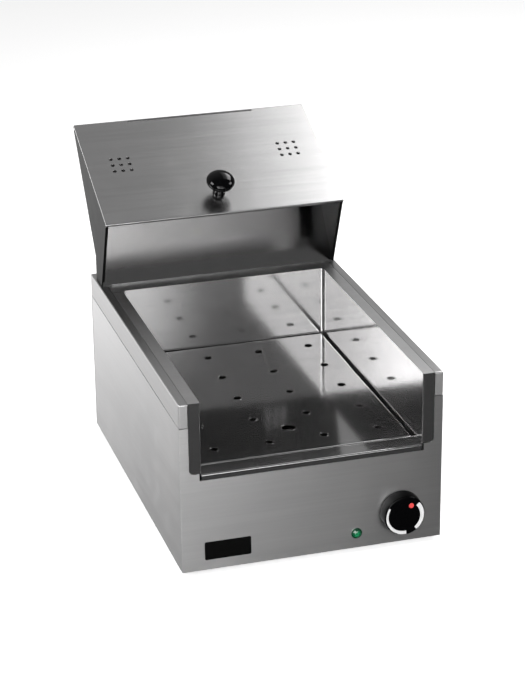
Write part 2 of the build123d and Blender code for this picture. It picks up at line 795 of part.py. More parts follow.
# Lid: sheet with a turned-down front lip, a rolled rear edge and two groups of vents
lip_depth = 2.8
with BuildPart() as lid:
    along = (0, cos(lid_slope), sin(lid_slope))
    with BuildSketch(Plane(origin=(-cheek_plane, hinge_y, hinge_z), x_dir=along, z_dir=(1, 0, 0))):
        with Locations((-lid_length / 2, roll_radius - sheet / 2)):
            Rectangle(lid_length, sheet)
        with Locations((-lid_length + sheet / 2, roll_radius - lip_depth / 2)):
            Rectangle(sheet, lip_depth)
        Circle(roll_radius)
        Circle(roll_radius - sheet, mode=Mode.SUBTRACT)
        with Locations((-2.0, -0.7)):
            Rectangle(4.0, 3.4, mode=Mode.SUBTRACT)
    extrude(amount=2 * cheek_plane)
    with Locations(lid_plane):
        Box(hinge_length + 0.4, 2 * roll_radius + 1.4, 8, mode=Mode.SUBTRACT)
        with Locations(*[(x, -vent_down_lid, roll_radius) for x in (-vent_across, vent_across)]):
            with GridLocations(vent_pitch[0], vent_pitch[1], 3, 3):
                Cylinder(vent_radius, 8, mode=Mode.SUBTRACT)
        with Locations((0, -lid_knob_down_lid, roll_radius)):
            Cylinder(2.6, 8, mode=Mode.SUBTRACT)
    lip_line = on_lid(-lid_length, roll_radius)
    front_top = [
        e
        for e in edges().filter_by(Axis.X)
        if abs(e.center().Y - lip_line[0]) < 0.02 and abs(e.center().Z - lip_line[1]) < 0.02
    ]
    fillet(front_top, radius=1.1)
finish(lid, "hood_lid")

# Hinge leaves: flat leaf, knuckles on every other place, and the pin through all of them
knuckle = hinge_length / knuckle_count
bore = pin_radius + pin_clearance


def hinge_leaf(plane, first, low, high):
    """Leaf on a plane through the hinge axis: low and high bound its thickness."""
    mid = (low + high) / 2
    clear = roll_radius + 0.6
    with Locations(plane):
        with Locations((0, -(clear + leaf_width) / 2, mid)):
            Box(hinge_length, leaf_width - clear, high - low)
        for i in range(first, knuckle_count, 2):
            x = -hinge_length / 2 + (i + 0.5) * knuckle
            with Locations((x, -(clear + bore) / 2 - 0.1, mid)):
                Box(knuckle - knuckle_gap, clear - bore - 0.2, high - low)
            with Locations(Location((x, 0, 0), (0, 90, 0))):
                Cylinder(roll_radius, knuckle - knuckle_gap)
                Cylinder(bore, knuckle - knuckle_gap, mode=Mode.SUBTRACT)


with BuildPart() as fixed_leaf:
    hinge_leaf(chute_plane, 0, -sheet - leaf, -sheet)
    with Locations(chute_plane):
        with Locations(*rivet_places):
            Cylinder(rivet_hole, 6, mode=Mode.SUBTRACT)
finish(fixed_leaf, "hinge_fixed_leaf")

with BuildPart() as moving_leaf:
    hinge_leaf(lid_plane, 1, lid_under - leaf, lid_under)
finish(moving_leaf, "hinge_moving_leaf")

with BuildPart() as pin:
    with Locations(Location((0, hinge_y, hinge_z), (0, 90, 0))):
        Cylinder(pin_radius, hinge_length)
finish(pin, "hinge_pin")

behind_leaf = [Location((x, y, -sheet - leaf), (180, 0, 0)) for x, y in rivet_places]
with BuildPart() as hinge_rivets:
    with Locations(chute_plane):
        with Locations(*behind_leaf):
            Cylinder(rivet_head, 0.9, align=(Align.CENTER, Align.CENTER, Align.MIN))
            Cylinder(rivet_shank, leaf + sheet + 0.8, align=(Align.CENTER, Align.CENTER, Align.MAX))
finish(hinge_rivets, "hinge_rivets")

# Lid knob: black mushroom turned in one piece, on a screw from below
knob_height = 27.0
lid_knob_seat = (0, *on_lid(-lid_knob_down_lid, roll_radius))
lid_normal = (0, -sin(lid_slope), cos(lid_slope))
with BuildPart() as lid_knob:
    across = (0, -cos(lid_slope), -sin(lid_slope))
    with BuildSketch(Plane(origin=lid_knob_seat, x_dir=(1, 0, 0), z_dir=across)):
        with BuildLine():
            Polyline((0, 9.0), (2.1, 9.0), (2.1, 0), (7.6, 0), (7.6, 0.8))
            Spline((7.6, 0.8), (6.6, 5.0), (6.9, 9.5), (9.6, 11.8))
            cap = [(9.6, 11.8), (14.4, 14.2), (16.5, 18.6), (14.2, 23.2), (8.0, 26.2), (0, knob_height)]
            Spline(*cap, tangents=((0.9, 0.35), (-1, 0)))
            Line((0, knob_height), (0, 9.0))
        make_face()
    revolve(axis=Axis(lid_knob_seat, lid_normal))
finish(lid_knob, "lid_knob")

with BuildPart() as lid_knob_screw:
    lid_underside = Plane(origin=lid_knob_seat, x_dir=(1, 0, 0), z_dir=lid_normal).offset(-sheet)
    with Locations(lid_underside):
        Cylinder(4.6, 2.2, align=(Align.CENTER, Align.CENTER, Align.MAX))
        Cylinder(2.0, 9.0, align=(Align.CENTER, Align.CENTER, Align.MIN))
finish(lid_knob_screw, "lid_knob_screw")

# Cable gland through the back panel, with its lock nut inside
gland_bore = 4.2
with BuildPart() as gland:
    with BuildSketch(rear_face):
        with Locations(gland_place):
            RegularPolygon(11.0, 6, major_radius=False)
    extrude(amount=5.0)
    with BuildSketch(rear_face.offset(5.0)):
        with Locations(gland_place):
            Circle(10.4)
    extrude(amount=9.0, taper=9.0)
    with BuildSketch(rear_face):
        with Locations(gland_place):
            Circle(8.0)
    extrude(amount=-9.0)
    with BuildSketch(rear_face.offset(15.0)):
        with Locations(gland_place):
            Circle(gland_bore)
    extrude(amount=-30.0, mode=Mode.SUBTRACT)
finish(gland, "cable_gland")

with BuildPart() as gland_nut:
    with BuildSketch(rear_face.offset(-sheet)):
        with Locations(gland_place):
            RegularPolygon(11.0, 6, major_radius=False)
            Circle(8.0, mode=Mode.SUBTRACT)
    extrude(amount=-4.0)
finish(gland_nut, "gland_lock_nut")

# Terminal block, earth stud and the internal wires
floor_top = base_low + sheet
block_x = 60.0
block_y = rear - 50.0
block_half = (20.0, 8.0)
block_top = floor_top + 18.0
clamp_offsets = (-13.0, 0.0, 13.0)
with BuildPart() as block:
    block_low = (block_x - block_half[0], block_y - block_half[1], floor_top)
    span(block_low, (block_x + block_half[0], block_y + block_half[1], block_top))
    fillet(edges().group_by(Axis.Z)[-1], radius=1.5)
    with Locations(*[(block_x + x, block_y, block_top) for x in clamp_offsets]):
        Cylinder(3.0, 6, mode=Mode.SUBTRACT)
finish(block, "terminal_block")

with BuildPart() as block_clamps:
    with Locations(*[(block_x + x, block_y, block_top - 3.0) for x in clamp_offsets]):
        Cylinder(2.4, 2.0, align=(Align.CENTER, Align.CENTER, Align.MIN))
finish(block_clamps, "terminal_screws")

earth_place = (8.0, rear - 50.0)
with BuildPart() as earth_stud:
    with Locations((*earth_place, floor_top)):
        Cylinder(2.5, 16, align=(Align.CENTER, Align.CENTER, Align.MIN))
finish(earth_stud, "earth_stud")

with BuildPart() as earth_nut:
    with BuildSketch(Plane.XY.offset(floor_top + 5)):
        with Locations(earth_place):
            RegularPolygon(4.0, 6, major_radius=False)
            Circle(2.5, mode=Mode.SUBTRACT)
    extrude(amount=4)
finish(earth_nut, "earth_nut")

wire_radius = 1.3
wire_z = floor_top + 8.0
block_front = block_y - block_half[1]
terminal_y = body_back + 9.0
left_terminal = (-run_outer, run_front - 14.0, element_z)
wire_routes = [
    [
        (block_x + 13, block_front, wire_z),
        (block_x + 13, block_front - 60, wire_z),
        (knob_x + 8, terminal_y + 40, knob_z - 7),
        (knob_x + 8, terminal_y, knob_z - 7),
    ],
    [
        (block_x, block_front, wire_z),
        (block_x, block_front - 30, wire_z),
        (-60, front + 200, wire_z),
        (-118, front + 60, wire_z),
        (-118, front + 26, wire_z + 14),
        (-100, front + 24, element_z),
        (left_terminal[0] - 2.5, left_terminal[1] + 1, element_z),
    ],
    [
        (block_x - 13, block_front, wire_z),
        (block_x - 13, block_front - 20, wire_z),
        (earth_place[0] + 20, earth_place[1] - 24, wire_z - 4),
        (earth_place[0] + 6.0, earth_place[1] - 3, floor_top + 7),
    ],
]
with BuildPart() as wires:
    for route in wire_routes:
        with BuildLine():
            FilletPolyline(*route, radius=6.0)
        with BuildSketch(Plane(origin=route[0], z_dir=Vector(*route[1]) - Vector(*route[0]))):
            Circle(wire_radius)
        sweep()
finish(wires, "internal_wires")

print("overall length", round(front_reach + rear_reach, 2), "front face at", round(front, 3))
print("lid slope", round(degrees(lid_slope), 3), "chute slope", round(degrees(chute_slope), 3))
print("hinge axis", round(hinge_y, 3), round(hinge_z, 3), "knob axis", knob_x, round(knob_z, 3))
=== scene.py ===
"""Looks of the counter-top chip warmer, built around its packed construction.

Sizes are in metres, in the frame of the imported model: +X to the object's right, +Y from the front
panel to the back, +Z up from the surface that the feet stand on.
"""

import logging
from dataclasses import dataclass, field
from enum import Enum
from math import cos, pi, radians, sin
from typing import Callable, Iterable, Optional, Sequence, Union

import bmesh
import bpy
from mathutils import Euler, Matrix, Vector


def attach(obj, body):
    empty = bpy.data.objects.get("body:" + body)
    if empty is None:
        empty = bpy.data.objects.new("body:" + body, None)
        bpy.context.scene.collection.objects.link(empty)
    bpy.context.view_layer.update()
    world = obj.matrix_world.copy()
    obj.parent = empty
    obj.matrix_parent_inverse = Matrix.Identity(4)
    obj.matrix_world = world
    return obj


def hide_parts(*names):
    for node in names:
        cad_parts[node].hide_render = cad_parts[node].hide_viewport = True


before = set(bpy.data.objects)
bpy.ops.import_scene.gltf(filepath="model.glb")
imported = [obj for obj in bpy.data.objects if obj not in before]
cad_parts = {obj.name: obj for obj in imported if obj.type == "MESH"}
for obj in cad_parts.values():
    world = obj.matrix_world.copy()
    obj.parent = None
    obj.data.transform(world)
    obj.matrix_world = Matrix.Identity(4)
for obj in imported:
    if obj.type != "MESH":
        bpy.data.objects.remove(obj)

LOG = logging.getLogger("chip_warmer")
MM = 0.001
DOUBLE = 1e-6  # points closer than this are merged
EVERY_WAY = (1.0, 1.0, 1.0)
Colour = tuple[float, float, float]
Point = tuple[float, float, float]


class Grain(Enum):
    """Direction of the brushing on a sheet: how far coordinates are stretched along X, Y and Z."""

    ALONG_X = (0.02, 1.0, 1.0)
    ALONG_Y = (1.0, 0.02, 1.0)
    ALONG_Z = (1.0, 1.0, 0.02)
    NONE = (1.0, 1.0, 1.0)


class Body(Enum):
    """Rigid bodies that pieces ride on."""

    CABINET = "cabinet"
    LID = "hood_lid"
    KNOB = "control_knob"
    PLATE = "perforated_plate"


# Shader graphs


class Wire:
    """One output socket of a shader graph, with arithmetic."""

    def __init__(self, graph: "Graph", socket: Optional[bpy.types.NodeSocket]) -> None:
        """Wrap a socket.

        Args:
            graph: the graph that the socket belongs to.
            socket: the output socket, or None for a node that closes a graph.
        """
        self.graph = graph
        self.socket = socket

    def _math(self, operation: str, first: "Value", second: "Value" = 0.0, clamp: bool = False) -> "Wire":
        """Add a Math node and return its output."""
        settings = {"operation": operation, "use_clamp": clamp}
        return self.graph.node("ShaderNodeMath", settings, {0: first, 1: second})

    def __add__(self, other: "Value") -> "Wire":
        """Sum."""
        return self._math("ADD", self, other)

    __radd__ = __add__

    def __sub__(self, other: "Value") -> "Wire":
        """Difference."""
        return self._math("SUBTRACT", self, other)

    def __rsub__(self, other: "Value") -> "Wire":
        """Difference from a value."""
        return self._math("SUBTRACT", other, self)

    def __mul__(self, other: "Value") -> "Wire":
        """Product."""
        return self._math("MULTIPLY", self, other)

    __rmul__ = __mul__

    def __truediv__(self, other: "Value") -> "Wire":
        """Quotient."""
        return self._math("DIVIDE", self, other)

    def __pow__(self, other: "Value") -> "Wire":
        """Power."""
        return self._math("POWER", self, other)

    def clamped(self) -> "Wire":
        """The value kept between 0 and 1."""
        return self._math("ADD", self, 0.0, clamp=True)

    def sine(self) -> "Wire":
        """Sine of an angle in radians."""
        return self._math("SINE", self)

    def cosine(self) -> "Wire":
        """Cosine of an angle in radians."""
        return self._math("COSINE", self)

    def step(self, low: float, high: float) -> "Wire":
        """Smooth step from 0 at low to 1 at high."""
        links = {"Value": self, "From Min": low, "From Max": high}
        return self.graph.node("ShaderNodeMapRange", {"interpolation_type": "SMOOTHSTEP"}, links)


Value = Union[float, int, Wire, Sequence[float]]


class Graph:
    """A node tree of a material, the world or a geometry pattern, filled by short calls."""

    def __init__(self, tree: bpy.types.NodeTree) -> None:
        """Take an empty tree.

        Args:
            tree: the node tree to fill.
        """
        self.tree = tree
        self.tree.nodes.clear()

    def node(
        self,
        kind: str,
        settings: Optional[dict] = None,
        links: Optional[dict] = None,
        output: Union[int, str] = 0,
    ) -> Wire:
        """Add one node.

        Args:
            kind: the node's type.
            settings: properties set before the sockets are looked up.
            links: values or wires by socket name or index.
            output: the output that is returned.

        Returns:
            The chosen output.
        """
        made = self.tree.nodes.new(kind)
        for name, value in (settings or {}).items():
            setattr(made, name, value)
        for name, value in (links or {}).items():
            self.set_input(made, name, value)
        return Wire(self, made.outputs[output] if made.outputs else None)

    def set_input(self, made: bpy.types.Node, name: Union[int, str], value: Value) -> None:
        """Link a wire to an input, or set the input's own value.

        Args:
            made: the node.
            name: the input's name or index.
            value: a wire or a constant.
        """
        socket = made.inputs[name]
        if isinstance(value, Wire):
            self.tree.links.new(value.socket, socket)
            return
        if socket.type == "RGBA" and len(value) == 3:
            value = (*value, 1.0)
        socket.default_value = value

    def place(self, scale: Sequence[float] = (1, 1, 1), offset: Sequence[float] = (0, 0, 0)) -> Wire:
        """Object coordinates, stretched and then moved.

        Args:
            scale: factor along each axis.
            offset: shift in metres, added after the factor.

        Returns:
            The coordinates.
        """
        here = self.node("ShaderNodeTexCoord", output="Object")
        return self.node("ShaderNodeMapping", {}, {"Vector": here, "Scale": scale, "Location": offset})

    def noise(self, scale: float, stretch: Point, detail: float = 2.0, rough: float = 0.5) -> Wire:
        """Noise between 0 and 1 on stretched object coordinates."""
        links = {"Vector": self.place(stretch), "Scale": scale, "Detail": detail, "Roughness": rough}
        return self.node("ShaderNodeTexNoise", {}, links)

    def mix(self, share: Value, first: Value, second: Value) -> Wire:
        """Mix of two colours."""
        links = {0: share, 6: first, 7: second}
        return self.node("ShaderNodeMix", {"data_type": "RGBA"}, links, output=2)

    def part(self, vector: Wire, name: str) -> Wire:
        """The X, Y or Z of a vector."""
        return self.node("ShaderNodeSeparateXYZ", {}, {0: vector}, output=name)

    def axis(self, name: str) -> Wire:
        """One object coordinate in metres."""
        return self.part(self.place(), name)

    def bump(self, height: Wire, distance: float, strength: float = 1.0) -> Wire:
        """Normal from a height between 0 and 1."""
        links = {"Height": height, "Distance": distance, "Strength": strength}
        return self.node("ShaderNodeBump", {}, links)

    def principled(self, links: dict) -> None:
        """Close a material with a Principled surface.

        Args:
            links: values or wires by socket name.
        """
        surface = self.node("ShaderNodeBsdfPrincipled", {}, links)
        self.node("ShaderNodeOutputMaterial", {}, {"Surface": surface})


@dataclass(frozen=True)
class Finish:
    """A surface finish: subclasses fill the graph."""

    name: str

    def fill(self, graph: Graph) -> None:
        """Fill the material's empty graph."""
        raise NotImplementedError

    def material(self) -> bpy.types.Material:
        """The finish as a material, made once.

        Returns:
            The material.
        """
        title = "finish_" + self.name
        found = bpy.data.materials.get(title)
        if found:
            return found
        made = bpy.data.materials.new(title)
        made.use_nodes = True
        self.fill(Graph(made.node_tree))
        return made


@dataclass(frozen=True)
class Steel(Finish):
    """Stainless sheet: brushing lines, faint stains and a slow ripple of the sheet.

    A share of haze lays a rougher reflection over the clear one. upright_rough and rim_rough, where given,
    replace rough on upright faces and on flat faces at the rim's level.
    """

    grain: Grain = Grain.ALONG_X
    tone: Colour = (0.60, 0.597, 0.598)
    rough: float = 0.24
    lines: float = 4e-6
    ripple: float = 0.0002
    stretched: float = 0.0
    upright_rough: float = 0.0
    rim_rough: float = 0.0
    rim_level: float = 0.1945
    haze: float = 0.0
    haze_rough: float = 0.5

    def fill(self, graph: Graph) -> None:
        """Metal with streaks that follow the grain.

        Args:
            graph: the material's empty graph.
        """
        stretch = self.grain.value
        fine = graph.noise(700.0, stretch, 2.0)
        streak = graph.noise(420.0, stretch, 3.0, 0.6)
        broad = graph.noise(60.0, stretch, 2.0)
        stain = graph.noise(9.0, EVERY_WAY, 3.0, 0.6)
        smear = graph.noise(34.0, EVERY_WAY, 2.0).step(0.52, 0.72)
        dark = tuple(c * 0.95 for c in self.tone)
        light = tuple(min(1.0, c * 1.03) for c in self.tone)
        base = graph.mix((streak * 0.55 + broad * 0.45).step(0.3, 0.7), dark, light)
        warm = (self.tone[0] * 1.005, self.tone[1] * 0.995, self.tone[2] * 0.985)
        base = graph.mix(stain.step(0.45, 0.75) * 0.35, base, warm)
        rough = self.rough + (streak - 0.5) * 0.16 * self.rough + (stain - 0.5) * 0.04
        rough = rough + smear * 0.02
        if self.upright_rough:
            rough = rough + (1 - self.faces_up(graph)) * (self.upright_rough - self.rough)
        if self.rim_rough:
            at_rim = graph.axis("Z").step(self.rim_level - MM / 2, self.rim_level)
            rough = rough + at_rim * self.faces_up(graph) * (self.rim_rough - self.rough)
        height = fine * self.lines / self.ripple + graph.noise(6.0, EVERY_WAY, 1.0)
        normal = graph.bump(height, self.ripple)
        links = {"Base Color": base, "Metallic": 1.0, "Roughness": rough, "Normal": normal}
        if self.stretched:
            links["Anisotropic"] = self.stretched
            links["Anisotropic Rotation"] = 0.25
        if not self.haze:
            graph.principled(links)
            return
        clear = graph.node("ShaderNodeBsdfPrincipled", {}, links)
        hazy = graph.node("ShaderNodeBsdfPrincipled", {}, links | {"Roughness": self.haze_rough})
        surface = graph.node("ShaderNodeMixShader", {}, {0: self.haze, 1: clear, 2: hazy})
        graph.node("ShaderNodeOutputMaterial", {}, {"Surface": surface})

    def faces_up(self, graph: Graph) -> Wire:
        """1 on faces that look up or down, 0 on upright ones."""
        tilt = graph.part(graph.node("ShaderNodeNewGeometry", output="Normal"), "Z")
        return graph.node("ShaderNodeMath", {"operation": "ABSOLUTE"}, {0: tilt}).step(0.4, 0.8)


@dataclass(frozen=True)
class Gloss(Finish):
    """Moulded plastic or paint, and also the painted dark reflection on the hood's steel cheeks: a faint
    orange peel, dust and fine wear.
    """

    tone: Colour = (0.01, 0.01, 0.011)
    rough: float = 0.08
    coat: float = 0.0
    peel: float = 1e-5
    dust: float = 0.04
    shine: float = 0.5

    def fill(self, graph: Graph) -> None:
        """Coated dielectric with dust in its colour and roughness.

        Args:
            graph: the material's empty graph.
        """
        specks = graph.noise(900.0, EVERY_WAY, 2.0).step(0.62, 0.8)
        cloud = graph.noise(55.0, EVERY_WAY, 3.0)
        lighter = tuple(c + 0.05 for c in self.tone)
        base = graph.mix(specks * self.dust, self.tone, lighter)
        rough = self.rough + specks * self.dust + (cloud - 0.5) * 0.05
        normal = graph.bump(graph.noise(700.0, EVERY_WAY, 2.0), self.peel)
        links = {"Base Color": base, "Roughness": rough, "Normal": normal, "Coat Weight": self.coat}
        links |= {"Coat Roughness": 0.05, "Specular IOR Level": self.shine}
        graph.principled(links)


@dataclass(frozen=True)
class Matte(Finish):
    """Rubber, fibre, moulded insulation or ink: an even colour with a mottled grain."""

    tone: Colour = (0.03, 0.03, 0.03)
    rough: float = 0.75
    scale: float = 600.0
    relief: float = 0.00008
    spread: float = 0.25
    metallic: float = 0.0

    def fill(self, graph: Graph) -> None:
        """Rough surface with a mottled colour.

        Args:
            graph: the material's empty graph.
        """
        grains = graph.noise(self.scale, EVERY_WAY, 4.0, 0.65)
        patches = graph.noise(self.scale / 14, EVERY_WAY, 2.0)
        dark = tuple(c * (1 - self.spread) for c in self.tone)
        light = tuple(min(1.0, c * (1 + self.spread)) for c in self.tone)
        base = graph.mix((grains * 0.5 + patches * 0.5).step(0.3, 0.7), dark, light)
        rough = self.rough + (patches - 0.5) * 0.2
        normal = graph.bump(grains, self.relief)
        links = {"Base Color": base, "Roughness": rough, "Normal": normal, "Metallic": self.metallic}
        graph.principled(links)


@dataclass(frozen=True)
class Lens(Finish):
    """Tinted lamp lens: dark at its rim, lighter in the middle, under a clear gloss."""

    centre: Point = (0.0, 0.0, 0.0)
    radius: float = 0.0055
    deep: Colour = (0.001, 0.012, 0.006)
    bright: Colour = (0.006, 0.13, 0.05)

    def fill(self, graph: Graph) -> None:
        """Green that is deepest at the rim, with mottled facets.

        Args:
            graph: the material's empty graph.
        """
        here = graph.place(EVERY_WAY, tuple(-c for c in self.centre))
        radial = graph.node("ShaderNodeVectorMath", {"operation": "MULTIPLY"}, {0: here, 1: (1, 0, 1)})
        length = graph.node("ShaderNodeVectorMath", {"operation": "LENGTH"}, {0: radial}, output="Value")
        inner = 1 - (length / self.radius).step(0.25, 0.95)
        cells = graph.node("ShaderNodeTexVoronoi", {}, {"Vector": here, "Scale": 620.0})
        glow = (inner * 0.75 + cells * 0.35).clamped()
        base = graph.mix(glow, self.deep, self.bright)
        links = {"Base Color": base, "Roughness": 0.12, "Coat Weight": 1.0, "Coat Roughness": 0.03}
        links["Emission Color"] = graph.mix(inner, (0, 0, 0), self.bright)
        links["Emission Strength"] = 0.06
        graph.principled(links)


PITCH_BLACK = (0.001, 0.001, 0.0012)


@dataclass(frozen=True)
class Palette:
    """Every finish of the object."""

    front: Finish = Steel("front_sheet_brushed", Grain.ALONG_X, rough=0.40, lines=5e-6, stretched=0.8)
    side: Finish = Steel("side_sheet_brushed", Grain.ALONG_Y, rough=0.34, stretched=0.7)
    deck: Finish = Steel("deck_sheet", Grain.ALONG_Y, rough=0.30, upright_rough=0.46)
    liner: Finish = Steel("liner_sheet_polished", rough=0.09, lines=1e-6, rim_rough=0.34, haze=0.07)
    plate: Finish = Steel("plate_sheet_polished", rough=0.10, lines=1e-6, haze=0.045)
    lid: Finish = Steel("lid_sheet_brushed")
    chute: Finish = Steel("chute_sheet", Grain.ALONG_Z, rough=0.12, lines=1e-6)
    # Painted dark reflection: the hood's cheeks are steel, given a near-black colour and little shine to
    # stand in for the dark that they reflect.
    cheek: Finish = Gloss("cheek_black", (0.003, 0.003, 0.003), rough=0.36, dust=0.01, shine=0.03)
    inner: Finish = Steel("inner_sheet_dull", Grain.ALONG_Y, (0.5, 0.5, 0.49), rough=0.4)
    hinge: Finish = Steel("hinge_steel", Grain.ALONG_X, (0.42, 0.42, 0.42), rough=0.28)
    screw: Finish = Steel("screw_steel", Grain.NONE, (0.62, 0.62, 0.6), rough=0.22, lines=2e-6)
    knob: Finish = Gloss("knob_black_gloss", PITCH_BLACK, rough=0.09, dust=0.004, shine=0.2)
    dial: Finish = Gloss("dial_black", PITCH_BLACK, rough=0.14, dust=0.004, shine=0.08)
    badge: Finish = Gloss("badge_black", (0.002, 0.002, 0.002), rough=0.2, dust=0.01, shine=0.12)
    white: Finish = Matte("scale_white", (0.46, 0.46, 0.46), 0.5, 1500.0, 4e-6, 0.04)
    red: Finish = Matte("dot_red", (0.50, 0.03, 0.028), 0.45, 1500.0, 4e-6, 0.06)
    rubber: Finish = Matte("foot_rubber", (0.022, 0.022, 0.023), 0.72, 900.0, 2e-5, 0.25)
    gland: Finish = Matte("gland_nylon", (0.018, 0.018, 0.019), 0.5, 800.0, 2e-5, 0.2)
    brass: Finish = Matte("brass_plain", (0.66, 0.46, 0.2), 0.33, 400.0, 1e-5, 0.12, 1.0)
    copper: Finish = Matte("copper_plain", (0.72, 0.36, 0.22), 0.35, 400.0, 1e-5, 0.15, 1.0)
    sheath: Finish = Matte("element_sheath", (0.13, 0.11, 0.10), 0.5, 300.0, 2e-5, 0.3, 0.8)
    wool: Finish = Matte("insulation_fibre", (0.74, 0.72, 0.66), 0.95, 1200.0, 0.0004, 0.12)
    ceramic: Finish = Matte("moulded_thermostat", (0.7, 0.68, 0.62), 0.6, 500.0, 1e-5, 0.06)
    wire: Finish = Matte("wire_sleeve", (0.05, 0.04, 0.035), 0.55, 700.0, 1e-5, 0.3)
    lamp: Finish = Gloss("lamp_body", (0.7, 0.7, 0.66), rough=0.3, coat=0.2)


PALETTE = Palette()


def dress(nodes: Iterable[str], finish: Finish) -> None:
    """Give a finish to construction nodes.

    Args:
        nodes: node names.
        finish: the finish.
    """
    for name in nodes:
        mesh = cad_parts[name].data
        mesh.materials.clear()
        mesh.materials.append(finish.material())


def add_piece(
    name: str, mesh: bpy.types.Mesh, finish: Finish, body: Body, replaces: Sequence[str] = ()
) -> bpy.types.Object:
    """Put a finished mesh in the scene as a piece of the object.

    Args:
        name: the piece's name.
        mesh: its mesh, already in place.
        finish: its finish.
        body: the body that it rides on.
        replaces: construction nodes that it stands for.

    Returns:
        The object.
    """
    made = bpy.data.objects.new(name, mesh)
    bpy.context.scene.collection.objects.link(made)
    mesh.materials.clear()
    mesh.materials.append(finish.material())
    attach(made, body.value)
    if replaces:
        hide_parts(*replaces)
    LOG.info("piece %s: %d faces on %s", name, len(mesh.polygons), body.value)
    return made


# Geometry


def tidy(mesh: bpy.types.Mesh, sharp: float) -> bpy.types.Mesh:
    """Merge doubles, turn faces outwards and shade smooth up to an angle.

    Args:
        mesh: the mesh, changed in place.
        sharp: angle in degrees past which an edge stays sharp.

    Returns:
        The same mesh.
    """
    shape = bmesh.new()
    shape.from_mesh(mesh)
    bmesh.ops.remove_doubles(shape, verts=shape.verts, dist=DOUBLE)
    bmesh.ops.recalc_face_normals(shape, faces=shape.faces)
    shape.to_mesh(mesh)
    shape.free()
    mesh.shade_smooth()
    mesh.set_sharp_from_angle(angle=radians(sharp))
    return mesh


def loft(name: str, rings: Sequence[Sequence[Sequence[float]]], sharp: float) -> bpy.types.Mesh:
    """Skin a row of rings into a closed mesh.

    Args:
        name: the mesh's name.
        rings: points of each ring; one point is a pole, and any other end gets a cap.
        sharp: angle in degrees past which an edge stays sharp.

    Returns:
        The mesh.
    """
    shape = bmesh.new()
    made = [[shape.verts.new(point) for point in ring] for ring in rings]
    count = max(len(ring) for ring in made)
    for below, above in zip(made, made[1:]):
        for i in range(count):
            j = (i + 1) % count
            low = (below[i % len(below)], below[j % len(below)])
            high = (above[j % len(above)], above[i % len(above)])
            shape.faces.new(list(dict.fromkeys(low + high)))
    for ring in (made[0], made[-1]):
        if len(ring) > 1:
            shape.faces.new(ring)
    mesh = bpy.data.meshes.new(name)
    shape.to_mesh(mesh)
    shape.free()
    return tidy(mesh, sharp)


def lathe(
    name: str,
    profile: Sequence[tuple[float, float]],
    seat: Vector,
    axis: Vector,
    steps: int,
    sharp: float = 30.0,
) -> bpy.types.Mesh:
    """Turn a profile about an axis into a closed mesh.

    Args:
        name: the mesh's name.
        profile: points of reach along the axis and radius, in millimetres, from pole to pole.
        seat: where the axis starts.
        axis: direction of the axis.
        steps: faces round the axis.
        sharp: angle in degrees past which an edge stays sharp.

    Returns:
        The mesh.
    """
    out = axis.normalized()
    first = out.orthogonal().normalized()
    second = out.cross(first)
    turns = [2 * pi * i / steps for i in range(steps)]
    spokes = [first * cos(a) + second * sin(a) for a in turns]
    rings = []
    for reach, radius in profile:
        centre = seat + out * reach * MM
        ring = spokes if radius > 0 else spokes[:1]
        rings.append([centre + spoke * radius * MM for spoke in ring])
    return loft(name, rings, sharp)


def arc_points(
    centre: tuple[float, float], radii: tuple[float, float], start: float, end: float, count: int
) -> list[tuple[float, float]]:
    """Points of an elliptic arc in a profile.

    Args:
        centre: its centre as reach and radius.
        radii: its half axes along the reach and the radius.
        start: first angle in degrees, from the radius direction towards the reach.
        end: last angle.
        count: number of points.

    Returns:
        The points.
    """
    angles = [radians(start + (end - start) * i / (count - 1)) for i in range(count)]
    return [(centre[0] + radii[0] * sin(a), centre[1] + radii[1] * cos(a)) for a in angles]


